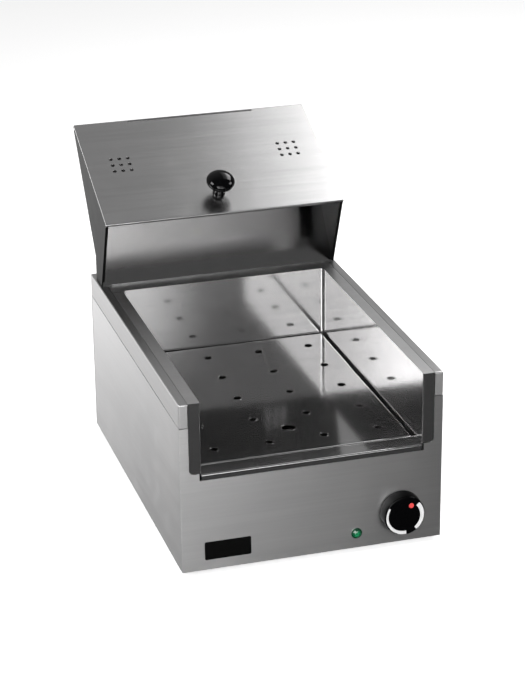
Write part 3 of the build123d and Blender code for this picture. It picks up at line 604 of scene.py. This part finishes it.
class Pattern:
    """A Geometry Nodes tree that puts one small shape on every point of a mesh."""

    def __init__(self, name: str, sizes: dict[str, float], finish: Finish) -> None:
        """Open the tree.

        Args:
            name: the tree's name.
            sizes: named inputs with their values.
            finish: the finish set on the result.
        """
        self.tree = bpy.data.node_groups.new(name, "GeometryNodeTree")
        self.graph = Graph(self.tree)
        self.sizes = sizes
        self.finish = finish
        self.tree.interface.new_socket(name="Points", in_out="INPUT", socket_type="NodeSocketGeometry")
        for size in sizes:
            self.tree.interface.new_socket(name=size, in_out="INPUT", socket_type="NodeSocketFloat")
        self.tree.interface.new_socket(name="Shape", in_out="OUTPUT", socket_type="NodeSocketGeometry")
        self.source = self.tree.nodes.new("NodeGroupInput")

    def size(self, name: str) -> Wire:
        """A named input."""
        return Wire(self.graph, self.source.outputs[name])

    def vector(self, x: Value, y: Value, z: Value) -> Wire:
        """A vector from three values."""
        return self.graph.node("ShaderNodeCombineXYZ", {}, {"X": x, "Y": y, "Z": z})

    def formed(self, columns: int, rows: int, formula: Callable[[Wire, Wire], Wire]) -> Wire:
        """A grid of faces bent to a formula.

        Args:
            columns: faces across.
            rows: faces along.
            formula: place of a point from how far it is across, -0.5 to 0.5, and along, 0 to 1.

        Returns:
            The mesh, with its seams and poles merged.
        """
        graph = self.graph
        links = {"Size X": 1.0, "Size Y": 1.0, "Vertices X": columns + 1, "Vertices Y": rows + 1}
        grid = graph.node("GeometryNodeMeshGrid", {}, links)
        place = graph.node("GeometryNodeInputPosition")
        where = formula(graph.part(place, "X"), graph.part(place, "Y") + 0.5)
        bent = graph.node("GeometryNodeSetPosition", {}, {"Geometry": grid, "Position": where})
        return graph.node("GeometryNodeMergeByDistance", {}, {"Geometry": bent, "Distance": DOUBLE})

    def turned(self, around: int, rings: int, radius: Callable, height: Callable) -> Wire:
        """A closed surface of revolution about Z, from formulas.

        Args:
            around: faces round the axis.
            rings: faces from pole to pole.
            radius: radius from the place along the profile, 0 to 1, and the angle.
            height: height from the place along the profile.

        Returns:
            The mesh.
        """

        def place(across: Wire, along: Wire) -> Wire:
            """A point of the surface.

            Args:
                across: -0.5 to 0.5 round the axis.
                along: 0 to 1 from pole to pole.

            Returns:
                Its place.
            """
            turn = across * (2 * pi)
            reach = radius(along, turn)
            return self.vector(reach * turn.cosine(), reach * turn.sine(), height(along))

        return self.formed(around, rings, place)

    def moved(self, geometry: Wire, shift: Value = (0, 0, 0), turn: Sequence[float] = (0, 0, 0)) -> Wire:
        """Geometry moved and turned."""
        links = {"Geometry": geometry, "Translation": shift, "Rotation": turn}
        return self.graph.node("GeometryNodeTransform", {}, links)

    def on_points(self, shape: Wire, turn: Sequence[float], spin: bool = False, seed: int = 4) -> Wire:
        """Put the shape on the points.

        Args:
            shape: the geometry to repeat.
            turn: rotation of every copy, as Euler angles in radians.
            spin: whether each copy is also turned about its own Z by a random angle.
            seed: seed of those angles.

        Returns:
            The copies.
        """
        angles = {"Min": 0.0, "Max": 2 * pi if spin else 0.0, "Seed": seed}
        angle = self.graph.node("FunctionNodeRandomValue", {"data_type": "FLOAT"}, {}, output=1)
        for name, value in angles.items():
            socket = [s for s in angle.socket.node.inputs if s.name == name and s.enabled][0]
            socket.default_value = value
        own = self.graph.node("FunctionNodeEulerToRotation", {}, {0: self.vector(0.0, 0.0, angle)})
        common = self.graph.node("FunctionNodeEulerToRotation", {}, {0: turn})
        both = self.graph.node("FunctionNodeRotateRotation", {"rotation_space": "LOCAL"}, {0: common, 1: own})
        links = {"Points": self.size("Points"), "Instance": shape, "Rotation": both}
        return self.graph.node("GeometryNodeInstanceOnPoints", {}, links)

    def run(self, result: Wire, places: Sequence[Point], sharp: float = 35.0) -> bpy.types.Mesh:
        """Close the tree, run it on points and keep the result as a plain mesh.

        Args:
            result: the geometry that the tree gives.
            places: the points, in metres.
            sharp: angle in degrees past which an edge stays sharp.

        Returns:
            The mesh.
        """
        real = self.graph.node("GeometryNodeRealizeInstances", {}, {"Geometry": result})
        links = {"Geometry": real, "Material": self.finish.material()}
        dressed = self.graph.node("GeometryNodeSetMaterial", {}, links)
        end = self.tree.nodes.new("NodeGroupOutput")
        self.tree.links.new(dressed.socket, end.inputs["Shape"])
        marks = bpy.data.meshes.new(self.tree.name)
        marks.from_pydata([tuple(p) for p in places], [], [])
        carrier = bpy.data.objects.new(self.tree.name, marks)
        bpy.context.scene.collection.objects.link(carrier)
        modifier = carrier.modifiers.new("pattern", "NODES")
        modifier.node_group = self.tree
        for item in self.tree.interface.items_tree:
            if item.in_out == "INPUT" and item.name in self.sizes:
                modifier[item.identifier] = self.sizes[item.name]
        evaluated = carrier.evaluated_get(bpy.context.evaluated_depsgraph_get())
        mesh = bpy.data.meshes.new_from_object(evaluated)
        bpy.data.objects.remove(carrier)
        return tidy(mesh, sharp)


@dataclass(frozen=True)
class Fastener:
    """A screw or rivet: domed head, shank below it and an optional cross recess.

    underside is the place along the profile where the dome ends. shoulder and crown are powers that fill
    the dome out. The slot's sizes are shares of the head's radius and height.
    """

    radius: float = 0.0038
    height: float = 0.0024
    shank: float = 0.0019
    length: float = 0.008
    cross: bool = True
    underside: float = 0.7
    shoulder: float = 0.8
    crown: float = 0.7
    overlap: float = 0.0001
    faces: tuple[int, int] = (28, 20)
    shank_faces: int = 16
    slot_long: float = 1.15
    slot_wide: float = 0.26
    slot_deep: float = 1.3
    slot_lift: float = 1.1

    def mesh(self, name: str, places: Sequence[Point], turn: Point) -> bpy.types.Mesh:
        """Put the fastener on places.

        Args:
            name: name of the pattern.
            places: middles of the heads' seats, in metres.
            turn: rotation that takes Z to the heads' outward direction, in radians.

        Returns:
            The mesh.
        """
        sizes = {"Radius": self.radius, "Height": self.height, "Shank": self.shank, "Length": self.length}
        pattern = Pattern(name, sizes, PALETTE.screw)
        graph, length = pattern.graph, pattern.size("Length")

        def quarter(along: Wire) -> Wire:
            """Angle over the dome from its top to its edge."""
            return (along / self.underside).clamped() * (pi / 2)

        def reach(along: Wire, turned: Wire) -> Wire:
            """Radius over the dome and back under it."""
            under = (along - self.underside) / (1 - self.underside)
            return pattern.size("Radius") * quarter(along).sine() ** self.shoulder * (1 - under.clamped())

        def rise(along: Wire) -> Wire:
            """Height over the dome."""
            return pattern.size("Height") * quarter(along).cosine() ** self.crown

        dome = pattern.turned(*self.faces, reach, rise)
        if self.cross:
            dome = self.recessed(pattern, dome)
        links = {"Vertices": self.shank_faces, "Radius": pattern.size("Shank"), "Depth": length}
        body = graph.node("GeometryNodeMeshCylinder", {}, links)
        body = pattern.moved(body, pattern.vector(0.0, 0.0, length * -0.5 + self.overlap))
        whole = graph.node("GeometryNodeJoinGeometry", {}, {0: dome})
        graph.set_input(whole.socket.node, 0, body)
        return pattern.run(pattern.on_points(whole, turn, spin=self.cross), places)

    def recessed(self, pattern: Pattern, dome: Wire) -> Wire:
        """Cut a cross recess into a head.

        Args:
            pattern: the pattern that the head belongs to.
            dome: the head.

        Returns:
            The head with its recess.
        """
        graph, head, tall = pattern.graph, pattern.size("Radius"), pattern.size("Height")
        cut = graph.node("GeometryNodeMeshBoolean", {"operation": "DIFFERENCE"}, {"Mesh 1": dome}, "Mesh")
        long, wide = head * self.slot_long, head * self.slot_wide
        lift = pattern.vector(0.0, 0.0, tall * self.slot_lift)
        for across, along in ((long, wide), (wide, long)):
            size = pattern.vector(across, along, tall * self.slot_deep)
            blade = graph.node("GeometryNodeMeshCube", {}, {"Size": size})
            graph.set_input(cut.socket.node, "Mesh 2", pattern.moved(blade, lift))
        return cut


# Lighting and camera


EVEN = (-9.0, -8.0)
FACING_BACK = (90.0, 0.0, 0.0)
FACING_DOWN = (0.0, 0.0, 0.0)


@dataclass(frozen=True)
class Softbox:
    """A glowing card of the studio: it lights the object and shows in its steel.

    Along the card's own X, the strength goes from start to light between the two places of fade, in
    metres. With EVEN it is light all over.
    """

    name: str
    centre: Point
    size: tuple[float, float]
    turn: Point
    light: float
    fade: tuple[float, float] = EVEN
    start: float = 0.0


@dataclass
class Studio:
    """Floor, surroundings, softboxes and the camera at the photograph's angle.

    The angles are in degrees. The surroundings are given as strengths above and below the horizon, in
    front of the object, which is the camera's side, and behind it.
    """

    eye: Point = (-0.6418, -2.2082, 1.0950)
    yaw: float = 16.559
    pitch: float = 22.391
    roll: float = -0.597
    focal_pixels: float = 2217.3
    frame_height: float = 700.0
    above_behind: float = 0.38
    right_drop: float = 0.18
    above_in_front: float = 0.089
    below_behind: float = 1.8
    below_in_front: float = 0.036
    softboxes: tuple[Softbox, ...] = (
        Softbox("overhead_card", (0.465, 0.6, 1.3), (0.27, 0.9), FACING_DOWN, 2.4, (-0.05, 0.14), 1.0),
        Softbox("overhead_right_card", (0.85, 0.6, 1.3), (0.50, 0.9), FACING_DOWN, 8.6, (-0.27, -0.12), 4.2),
        Softbox("far_left_low_card", (-0.975, -1.7, 0.36), (0.75, 0.52), FACING_BACK, 14.0),
        Softbox("far_left_card", (-0.975, -1.7, 1.06), (0.75, 0.88), FACING_BACK, 5.2),
        Softbox("left_low_card", (-0.205, -1.7, 0.36), (0.79, 0.52), FACING_BACK, 7.0),
        Softbox("left_card", (-0.205, -1.7, 1.06), (0.79, 0.88), FACING_BACK, 1.8),
        Softbox("middle_card", (0.305, -1.7, 0.36), (0.23, 0.52), FACING_BACK, 2.7),
        Softbox("middle_right_card", (0.515, -1.7, 0.36), (0.19, 0.52), FACING_BACK, 1.8),
        Softbox("upper_middle_card", (0.29, -1.7, 0.77), (0.34, 0.22), FACING_BACK, 0.25, (0.02, 0.16), 1.5),
        Softbox("right_strobe", (1.31, -0.34, 1.14), (0.5, 0.5), (0.0, 58.0, -19.0), 9.0),
        Softbox("left_strobe", (-1.20, -0.14, 1.17), (0.6, 0.6), (0.0, -52.0, -4.0), 12.0),
    )

    def camera(self) -> None:
        """Place the camera."""
        lens = bpy.data.cameras.new("camera")
        lens.sensor_fit = "AUTO"
        lens.sensor_width = 36.0
        lens.lens = self.focal_pixels * lens.sensor_width / self.frame_height
        lens.clip_start, lens.clip_end = 0.05, 100.0
        made = bpy.data.objects.new("camera", lens)
        bpy.context.scene.collection.objects.link(made)
        yaw, pitch = radians(self.yaw), radians(self.pitch)
        ahead = Vector((sin(yaw) * cos(pitch), cos(yaw) * cos(pitch), -sin(pitch)))
        across = Vector((cos(yaw), -sin(yaw), 0.0))
        above = across.cross(ahead)
        turned = across * cos(radians(self.roll)) + above * sin(radians(self.roll))
        upright = turned.cross(ahead)
        axes = Matrix((turned, upright, -ahead)).transposed().to_4x4()
        made.matrix_world = Matrix.Translation(self.eye) @ axes
        bpy.context.scene.camera = made

    def floor(self) -> None:
        """Lay a pale floor that reflections look past."""
        made = self.card("floor", (0, 0, 0), (30, 30), (0, 0, 0))
        graph = self.material(made)
        tone = graph.mix(graph.noise(3.0, EVERY_WAY, 2.0), (0.86, 0.86, 0.86), (0.88, 0.88, 0.88))
        links = {"Base Color": tone, "Roughness": 0.9, "Emission Color": (1, 1, 1), "Emission Strength": 0.6}
        graph.principled(links)
        made.visible_glossy = False

    def card(self, name: str, centre: Point, size: tuple[float, float], turn: Point) -> bpy.types.Object:
        """Add a flat card that isn't part of the object.

        Args:
            name: its name.
            centre: its middle.
            size: its width and length.
            turn: its rotation in degrees.

        Returns:
            The card.
        """
        mesh = bpy.data.meshes.new(name)
        half_x, half_y = size[0] / 2, size[1] / 2
        corners = [(-half_x, -half_y, 0), (half_x, -half_y, 0), (half_x, half_y, 0), (-half_x, half_y, 0)]
        mesh.from_pydata(corners, [], [(0, 1, 2, 3)])
        made = bpy.data.objects.new(name, mesh)
        made.location = centre
        made.rotation_euler = Euler([radians(a) for a in turn])
        bpy.context.scene.collection.objects.link(made)
        return made

    def material(self, owner: bpy.types.Object) -> Graph:
        """Give a stage card its own material.

        Args:
            owner: the card.

        Returns:
            The empty graph of its material.
        """
        made = bpy.data.materials.new(owner.name)
        made.use_nodes = True
        owner.data.materials.append(made)
        return Graph(made.node_tree)

    def hang(self, box: Softbox) -> None:
        """Hang a softbox, which the camera doesn't see and which casts no shadow.

        Args:
            box: the softbox.
        """
        made = self.card(box.name, box.centre, box.size, box.turn)
        graph = self.material(made)
        strength = graph.axis("X").step(*box.fade) * (box.light - box.start) + box.start
        glow = graph.node("ShaderNodeEmission", {}, {"Strength": strength})
        graph.node("ShaderNodeOutputMaterial", {}, {"Surface": glow})
        made.visible_camera = False
        made.visible_shadow = False

    def surroundings(self) -> None:
        """Light the scene from all round: soft and pale, with darker quarters for the steel to show."""
        world = bpy.data.worlds.new("surroundings")
        bpy.context.scene.world = world
        world.use_nodes = True
        graph = Graph(world.node_tree)
        toward = graph.node("ShaderNodeTexCoord", output="Generated")
        x, y, z = (graph.part(toward, name) for name in "XYZ")
        behind = y.step(-0.2, 0.5)
        right = x.step(-0.1, 0.5)
        above = z.step(-0.05, 0.12)
        upper = behind * (self.above_behind - right * self.right_drop) + (1 - behind) * self.above_in_front
        lower = (1 - behind) * self.below_in_front + behind * z.step(-0.42, -0.32) * self.below_behind
        light = above * upper + (1 - above) * lower
        glow = graph.node("ShaderNodeBackground", {}, {"Color": (1.0, 0.998, 0.999), "Strength": light})
        graph.node("ShaderNodeOutputWorld", {}, {"Surface": glow})

    def build(self) -> None:
        """Set the whole stage."""
        self.camera()
        self.floor()
        self.surroundings()
        for box in self.softboxes:
            self.hang(box)
        bpy.context.scene.view_settings.view_transform = "Standard"
        LOG.info("stage is set with %d softboxes", len(self.softboxes))


# The object


UP = (0.0, 0.0, 0.0)
DOWN = (pi, 0.0, 0.0)
REARWARDS = (-pi / 2, 0.0, 0.0)
FORWARDS = Vector((0.0, -1.0, 0.0))


@dataclass
class Cabinet:
    """Outer sheets, deck, well liner, plate, and the fasteners and louvres that show on them.

    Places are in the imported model's frame. Where a field holds two numbers they are along X and Z.
    """

    rear: float = 0.1702
    base: float = 0.005
    plate_top: float = 0.115
    back_screw_x: float = 0.135
    back_screw_z: tuple[float, ...] = (0.019, 0.085, 0.151)
    base_screw_x: tuple[float, ...] = (-0.09, 0.0, 0.09)
    base_screw_y: float = -0.2208
    foot_x: float = 0.104
    foot_y: tuple[float, ...] = (-0.1848, 0.1252)
    foot_seat: float = 0.0034
    hole_pitch: float = 0.0605
    hole_middle_y: float = -0.0527
    hole_radius: float = 0.00475
    finger_y: float = -0.1453
    finger_radius: float = 0.008
    bead: float = 0.00014
    bead_sink: float = 0.7
    rim_points: int = 40
    bead_points: int = 8
    louvre_middle: tuple[float, float] = (-0.020, 0.123)
    louvre_pitch: tuple[float, float] = (0.080, 0.010)
    louvre_size: Point = (0.066, 0.0072, 0.0028)
    louvre_faces: tuple[int, int] = (32, 16)
    louvre_sunk: float = 0.0001
    louvre_lift: float = 0.0006
    louvre_wall: float = 0.3
    louvre_round: float = 0.3
    gland: tuple[float, float] = (0.095, 0.037)
    grip_seat: float = 0.0062
    grip_radius: float = 0.0088
    grip_ridge: float = 0.0021
    grip_height: float = 0.0052
    grip_ribs: int = 18
    grip_depth: float = 0.25
    grip_round: float = 0.35
    grip_rib_faces: int = 8
    grip_rows: int = 24
    sheets: dict[Finish, tuple[str, ...]] = field(
        default_factory=lambda: {
            PALETTE.front: ("front_panel",),
            PALETTE.side: ("left_side_panel", "right_side_panel", "back_panel"),
            PALETTE.deck: ("top_frame",),
            PALETTE.liner: ("well_liner",),
            PALETTE.plate: ("perforated_plate",),
            PALETTE.inner: ("base_panel", "heat_shield", "element_clamp_bars"),
        }
    )

    def build(self) -> None:
        """Dress the sheets and add the small pieces."""
        for finish, names in self.sheets.items():
            dress(names, finish)
            LOG.info("%s: %s", finish.name, ", ".join(names))
        self.fasteners()
        self.plate_holes()
        self.louvres()
        self.gland_grip()

    def fasteners(self) -> None:
        """Screws of the back panel, the base and the feet."""
        back = [(x, self.rear, z) for x in (-self.back_screw_x, self.back_screw_x) for z in self.back_screw_z]
        base = [(x, self.base_screw_y, self.base) for x in self.base_screw_x]
        feet = [(x, y, self.foot_seat) for x in (-self.foot_x, self.foot_x) for y in self.foot_y]
        for node, fastener, places, turn in (
            ("back_panel_screws", Fastener(), back, REARWARDS),
            ("base_screws", Fastener(), base, DOWN),
            ("foot_screws", Fastener(length=0.009), feet, DOWN),
        ):
            mesh = fastener.mesh(node + "_pattern", places, turn)
            add_piece(node + "_look", mesh, PALETTE.screw, Body.CABINET, (node,))

    def plate_holes(self) -> None:
        """Rounded rims of the plate's holes."""
        steps = [self.hole_pitch * (i - 1.5) for i in range(4)]
        rows = [self.hole_middle_y + self.hole_pitch * (i - 2) for i in range(5)]
        holes = [(x, y, self.plate_top) for x in steps for y in rows]
        finger = [(0.0, self.finger_y, self.plate_top)]
        for name, places, radius in (
            ("plate_hole_rims", holes, self.hole_radius),
            ("finger_hole_rim", finger, self.finger_radius),
        ):
            pattern = Pattern(name, {"Radius": radius, "Bead": self.bead}, PALETTE.plate)
            bead = pattern.size("Bead")
            ring = self.circle(pattern, self.rim_points, pattern.size("Radius") + bead)
            section = self.circle(pattern, self.bead_points, bead)
            links = {"Curve": ring, "Profile Curve": section}
            rim = pattern.graph.node("GeometryNodeCurveToMesh", {}, links)
            rim = pattern.moved(rim, pattern.vector(0.0, 0.0, bead * -self.bead_sink))
            mesh = pattern.run(pattern.on_points(rim, UP), places, sharp=60.0)
            add_piece(name, mesh, PALETTE.plate, Body.PLATE)

    def circle(self, pattern: Pattern, points: int, radius: Wire) -> Wire:
        """A circle as a curve."""
        links = {"Resolution": points, "Radius": radius}
        return pattern.graph.node("GeometryNodeCurvePrimitiveCircle", {}, links)

    def louvres(self) -> None:
        """Pressed hoods over the back panel's slots, open at their lower edge."""
        sizes = dict(zip(("Length", "Height", "Depth"), self.louvre_size))
        pattern = Pattern("louvre_hoods", sizes, PALETTE.side)

        def place(across: Wire, along: Wire) -> Wire:
            """A point of a hood: down over its outside, then back up its inside.

            Args:
                across: -0.5 to 0.5 along the slot.
                along: 0 to 1 down the outside and up the inside.

            Returns:
                Its place.
            """
            share = across + 0.5
            back_again = (along * 2 - 1).clamped()
            down = (along * 2).clamped() - back_again
            inside = 1 - back_again.step(0.0, 0.2) * self.louvre_wall
            swell = (share * pi).sine().clamped() ** self.louvre_round * (down * (pi / 2)).sine()
            return pattern.vector(
                (share - 0.5) * pattern.size("Length"),
                (down - 0.5) * pattern.size("Height"),
                swell * inside * pattern.size("Depth"),
            )

        columns = [self.louvre_middle[0] + self.louvre_pitch[0] * (i - 0.5) for i in range(2)]
        rows = [self.louvre_middle[1] + self.louvre_pitch[1] * (j - 2) + self.louvre_lift for j in range(5)]
        hoods = [(x, self.rear - self.louvre_sunk, z) for x in columns for z in rows]
        shape = pattern.formed(*self.louvre_faces, place)
        mesh = pattern.run(pattern.on_points(shape, REARWARDS), hoods, sharp=50.0)
        add_piece("louvre_hoods", mesh, PALETTE.side, Body.CABINET)

    def gland_grip(self) -> None:
        """Ring with rounded ribs round the cable gland."""
        sizes = {"Radius": self.grip_radius, "Ridge": self.grip_ridge, "Height": self.grip_height}
        pattern = Pattern("gland_grip", sizes, PALETTE.gland)

        def swell(along: Wire) -> Wire:
            """Rounding of the outside from its lower to its upper edge."""
            return ((along * 2).clamped() * pi).sine().clamped() ** self.grip_round

        def reach(along: Wire, turn: Wire) -> Wire:
            """Radius: ribs outside, plain inside."""
            rib = (turn * float(self.grip_ribs)).cosine() * self.grip_depth + (1 - self.grip_depth)
            return pattern.size("Radius") + swell(along) * rib * pattern.size("Ridge")

        def rise(along: Wire) -> Wire:
            """Height: up the outside and back down the inside."""
            return pattern.size("Height") * ((along * 2).clamped() - (along * 2 - 1).clamped())

        ring = pattern.turned(self.grip_ribs * self.grip_rib_faces, self.grip_rows, reach, rise)
        seat = (self.gland[0], self.rear + self.grip_seat, self.gland[1])
        mesh = pattern.run(pattern.on_points(ring, REARWARDS), [seat], sharp=50.0)
        add_piece("gland_grip", mesh, PALETTE.gland, Body.CABINET)


@dataclass(frozen=True)
class Slope:
    """A plane through the hinge axis, turned about it."""

    hinge: tuple[float, float] = (0.2439, 0.3515)
    degrees: float = 24.654

    def at(self, x: float, up: float, out: float) -> Point:
        """A point on or near the plane.

        Args:
            x: its X.
            up: how far it is up the slope from the hinge axis.
            out: how far it is out of the plane.

        Returns:
            The point.
        """
        angle = radians(self.degrees)
        y = self.hinge[0] + up * cos(angle) - out * sin(angle)
        return (x, y, self.hinge[1] + up * sin(angle) + out * cos(angle))

    def under_turn(self) -> Point:
        """Rotation that takes Z to the direction below the plane."""
        return (radians(self.degrees) + pi, 0.0, 0.0)

    def normal(self) -> Vector:
        """Outward direction."""
        return Vector((0.0, -sin(radians(self.degrees)), cos(radians(self.degrees))))


@dataclass
class Hood:
    """Chute, cheeks, lid, hinge and lid knob. Places ending in down and out are on the slopes."""

    lid: Slope = Slope()
    chute: Slope = Slope(degrees=52.385)
    knob_down: float = -0.138
    knob_out: float = 0.0022
    knob_faces: int = 72
    rivet: Fastener = Fastener(radius=0.0032, height=0.0009, shank=0.0016, length=0.003, cross=False)
    rivet_x: tuple[float, ...] = (-0.057, -0.019, 0.019, 0.057)
    rivet_down: float = -0.011
    rivet_out: float = -0.0022
    foot_screw: Fastener = Fastener(length=0.011)
    foot_y: float = 0.1382
    foot_top: float = 0.1967
    foot_x: tuple[float, ...] = (-0.1315, -0.07, 0.0, 0.07, 0.1315)

    def build(self) -> None:
        """Dress the hood and add its small pieces."""
        dress(("hood_lid",), PALETTE.lid)
        dress(("hood_back_panel",), PALETTE.chute)
        # The steel cheeks take the near-black finish, a painted dark reflection.
        dress(("hood_left_cheek", "hood_right_cheek"), PALETTE.cheek)
        dress(("hinge_fixed_leaf", "hinge_moving_leaf", "hinge_pin", "hinge_rivets"), PALETTE.hinge)
        LOG.info("hood is dressed")
        self.knob()
        self.fasteners()

    def knob(self) -> None:
        """Black mushroom knob, turned in one piece: profile as reach and radius in millimetres."""
        stem = [(0.8, 7.6), (1.6, 7.55), (3.0, 7.05), (5.0, 6.6), (7.2, 6.45), (9.2, 6.75), (10.4, 7.6)]
        cap = [(11.3, 9.2), (12.2, 11.4), (13.2, 13.4), (14.9, 15.2), (16.8, 16.2), (18.6, 16.5)]
        crown = arc_points((18.6, 0.0), (8.4, 16.5), 0.0, 90.0, 16)[1:-1]
        profile = [(9.0, 0.0), (9.0, 2.1), (0.0, 2.1), (0.0, 7.6), *stem, *cap, *crown, (27.0, 0.0)]
        seat = Vector(self.lid.at(0.0, self.knob_down, self.knob_out))
        mesh = lathe("lid_knob_look", profile, seat, self.lid.normal(), self.knob_faces, sharp=50.0)
        add_piece("lid_knob_look", mesh, PALETTE.knob, Body.LID, ("lid_knob",))

    def fasteners(self) -> None:
        """Domed rivets of the hinge's fixed leaf and screws of the hood's foot."""
        places = [self.chute.at(x, self.rivet_down, self.rivet_out) for x in self.rivet_x]
        rivets = self.rivet.mesh("hinge_rivet_pattern", places, self.chute.under_turn())
        feet = [(x, self.foot_y, self.foot_top) for x in self.foot_x]
        screws = self.foot_screw.mesh("hood_foot_pattern", feet, UP)
        for node, mesh, finish, slot in (
            ("hinge_rivets", rivets, PALETTE.hinge, "hinge_steel"),
            ("hood_foot_screws", screws, PALETTE.screw, "screw_steel"),
        ):
            add_piece(node + "_look", mesh, finish, Body.CABINET, (node,))


@dataclass
class Controls:
    """Thermostat knob, lamp and bare plate on the front panel, at y = face.

    Profiles are reach in front of the panel and radius, in millimetres.
    """

    face: float = -0.2298
    knob_place: tuple[float, float] = (0.0966, 0.0425)
    knob_faces: int = 96
    lamp_place: tuple[float, float] = (0.048, 0.0225)
    lamp_facets: int = 10
    lamp_faces: int = 48
    badge_low: Point = (-0.11815, -0.2308, 0.01705)
    badge_high: Point = (-0.06815, -0.2298, 0.03745)
    badge_corner: float = 0.0015
    badge_bevel: float = 0.00022
    badge_corner_faces: int = 6

    def build(self) -> None:
        """Dress the controls and add their finer pieces."""
        dress(("knob_scale_arcs",), PALETTE.white)
        dress(("knob_pointer_dot",), PALETTE.red)
        dress(("neon_body",), PALETTE.lamp)
        LOG.info("controls are dressed")
        self.knob()
        self.lamp()
        self.badge()

    def knob(self) -> None:
        """Control knob: soft rear rim, slightly tapered skirt, rounded shoulder, flat face, hollow back."""
        hollow = [(12.1, 0.0), (12.1, 3.02), (1.6, 3.02), (1.6, 6.5), (11.8, 6.5), (11.8, 19.6), (0.8, 20.6)]
        rim = [(0.8, 22.2), *arc_points((1.6, 22.2), (0.8, 0.8), -67.0, 0.0, 5)]
        shoulder = arc_points((14.0, 20.6), (1.8, 1.75), 8.0, 90.0, 9)
        profile = [*hollow, *rim, *shoulder, (15.8, 10.0), (15.8, 0.0)]
        seat = Vector((self.knob_place[0], self.face, self.knob_place[1]))
        mesh = lathe("control_knob_look", profile, seat, FORWARDS, self.knob_faces, sharp=40.0)
        add_piece("control_knob_look", mesh, PALETTE.dial, Body.KNOB, ("control_knob",))

    def lamp(self) -> None:
        """Lamp lens with a flange and a faceted dome."""
        flange = [(-8.0, 0.0), (-8.0, 4.7), (0.0, 4.7), (0.0, 6.0), (0.9, 6.0), (1.2, 5.7), (1.2, 5.3)]
        dome = [(1.0, 0.0), (1.0, 5.3), (1.9, 4.9), (2.9, 3.6), (3.5, 2.0), (3.8, 0.0)]
        seat = Vector((self.lamp_place[0], self.face, self.lamp_place[1]))
        facets = lathe("lamp_facets", dome, seat, FORWARDS, self.lamp_facets, sharp=5.0)
        rim = lathe("neon_lens_look", [*flange, (1.1, 0.0)], seat, FORWARDS, self.lamp_faces)
        finish = Lens("lamp_green", tuple(seat))
        add_piece("neon_lens_look", rim, finish, Body.CABINET, ("neon_lens",))
        add_piece("neon_lens_facets", facets, finish, Body.CABINET)

    def badge(self) -> None:
        """Bare black plate with rounded corners and a fine bevel round its face."""
        low, high = Vector(self.badge_low), Vector(self.badge_high)
        left, right = low.x + self.badge_corner, high.x - self.badge_corner
        bottom, top = low.z + self.badge_corner, high.z - self.badge_corner
        middles = ((right, top), (left, top), (left, bottom), (right, bottom))
        faces = self.badge_corner_faces
        rings = []
        for y, inset in ((high.y, 0.0), (low.y + self.badge_bevel, 0.0), (low.y, self.badge_bevel)):
            corner = self.badge_corner - inset
            ring = []
            for turn, (x, z) in enumerate(middles):
                angles = [pi / 2 * (turn + step / faces) for step in range(faces + 1)]
                ring += [(x + corner * cos(a), y, z + corner * sin(a)) for a in angles]
            rings.append(ring)
        mesh = loft("badge_plate_look", rings, sharp=30.0)
        add_piece("badge_plate_look", mesh, PALETTE.badge, Body.CABINET, ("badge_plate",))


@dataclass
class Interior:
    """Pieces inside the cabinet and small fasteners."""

    finishes: dict[Finish, tuple[str, ...]] = field(
        default_factory=lambda: {
            PALETTE.screw: (
                "hood_foot_nuts", "clamp_studs", "clamp_nuts", "shield_nuts", "lid_knob_screw",
                "thermostat_screws", "thermostat_shaft", "neon_spring_ring",
            ),
            PALETTE.rubber: ("rubber_feet",),
            PALETTE.gland: ("cable_gland", "gland_lock_nut"),
            PALETTE.brass: (
                "thermostat_bush", "thermostat_terminals", "element_terminals", "earth_stud", "earth_nut",
                "terminal_screws",
            ),
            PALETTE.copper: ("thermostat_bulb", "thermostat_capillary"),
            PALETTE.sheath: ("heating_element",),
            PALETTE.wool: ("insulation_pad",),
            PALETTE.ceramic: ("thermostat_body", "terminal_block"),
            PALETTE.wire: ("internal_wires",),
        }
    )

    def build(self) -> None:
        """Dress the inner pieces."""
        for finish, names in self.finishes.items():
            dress(names, finish)
        LOG.info("inner pieces are dressed")


def main() -> None:
    """Build every sub-assembly in order."""
    logging.basicConfig(level=logging.INFO, format="%(name)s %(message)s")
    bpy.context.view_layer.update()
    for assembly in (Cabinet(), Hood(), Controls(), Interior(), Studio()):
        assembly.build()


if __name__ == "__main__":
    main()
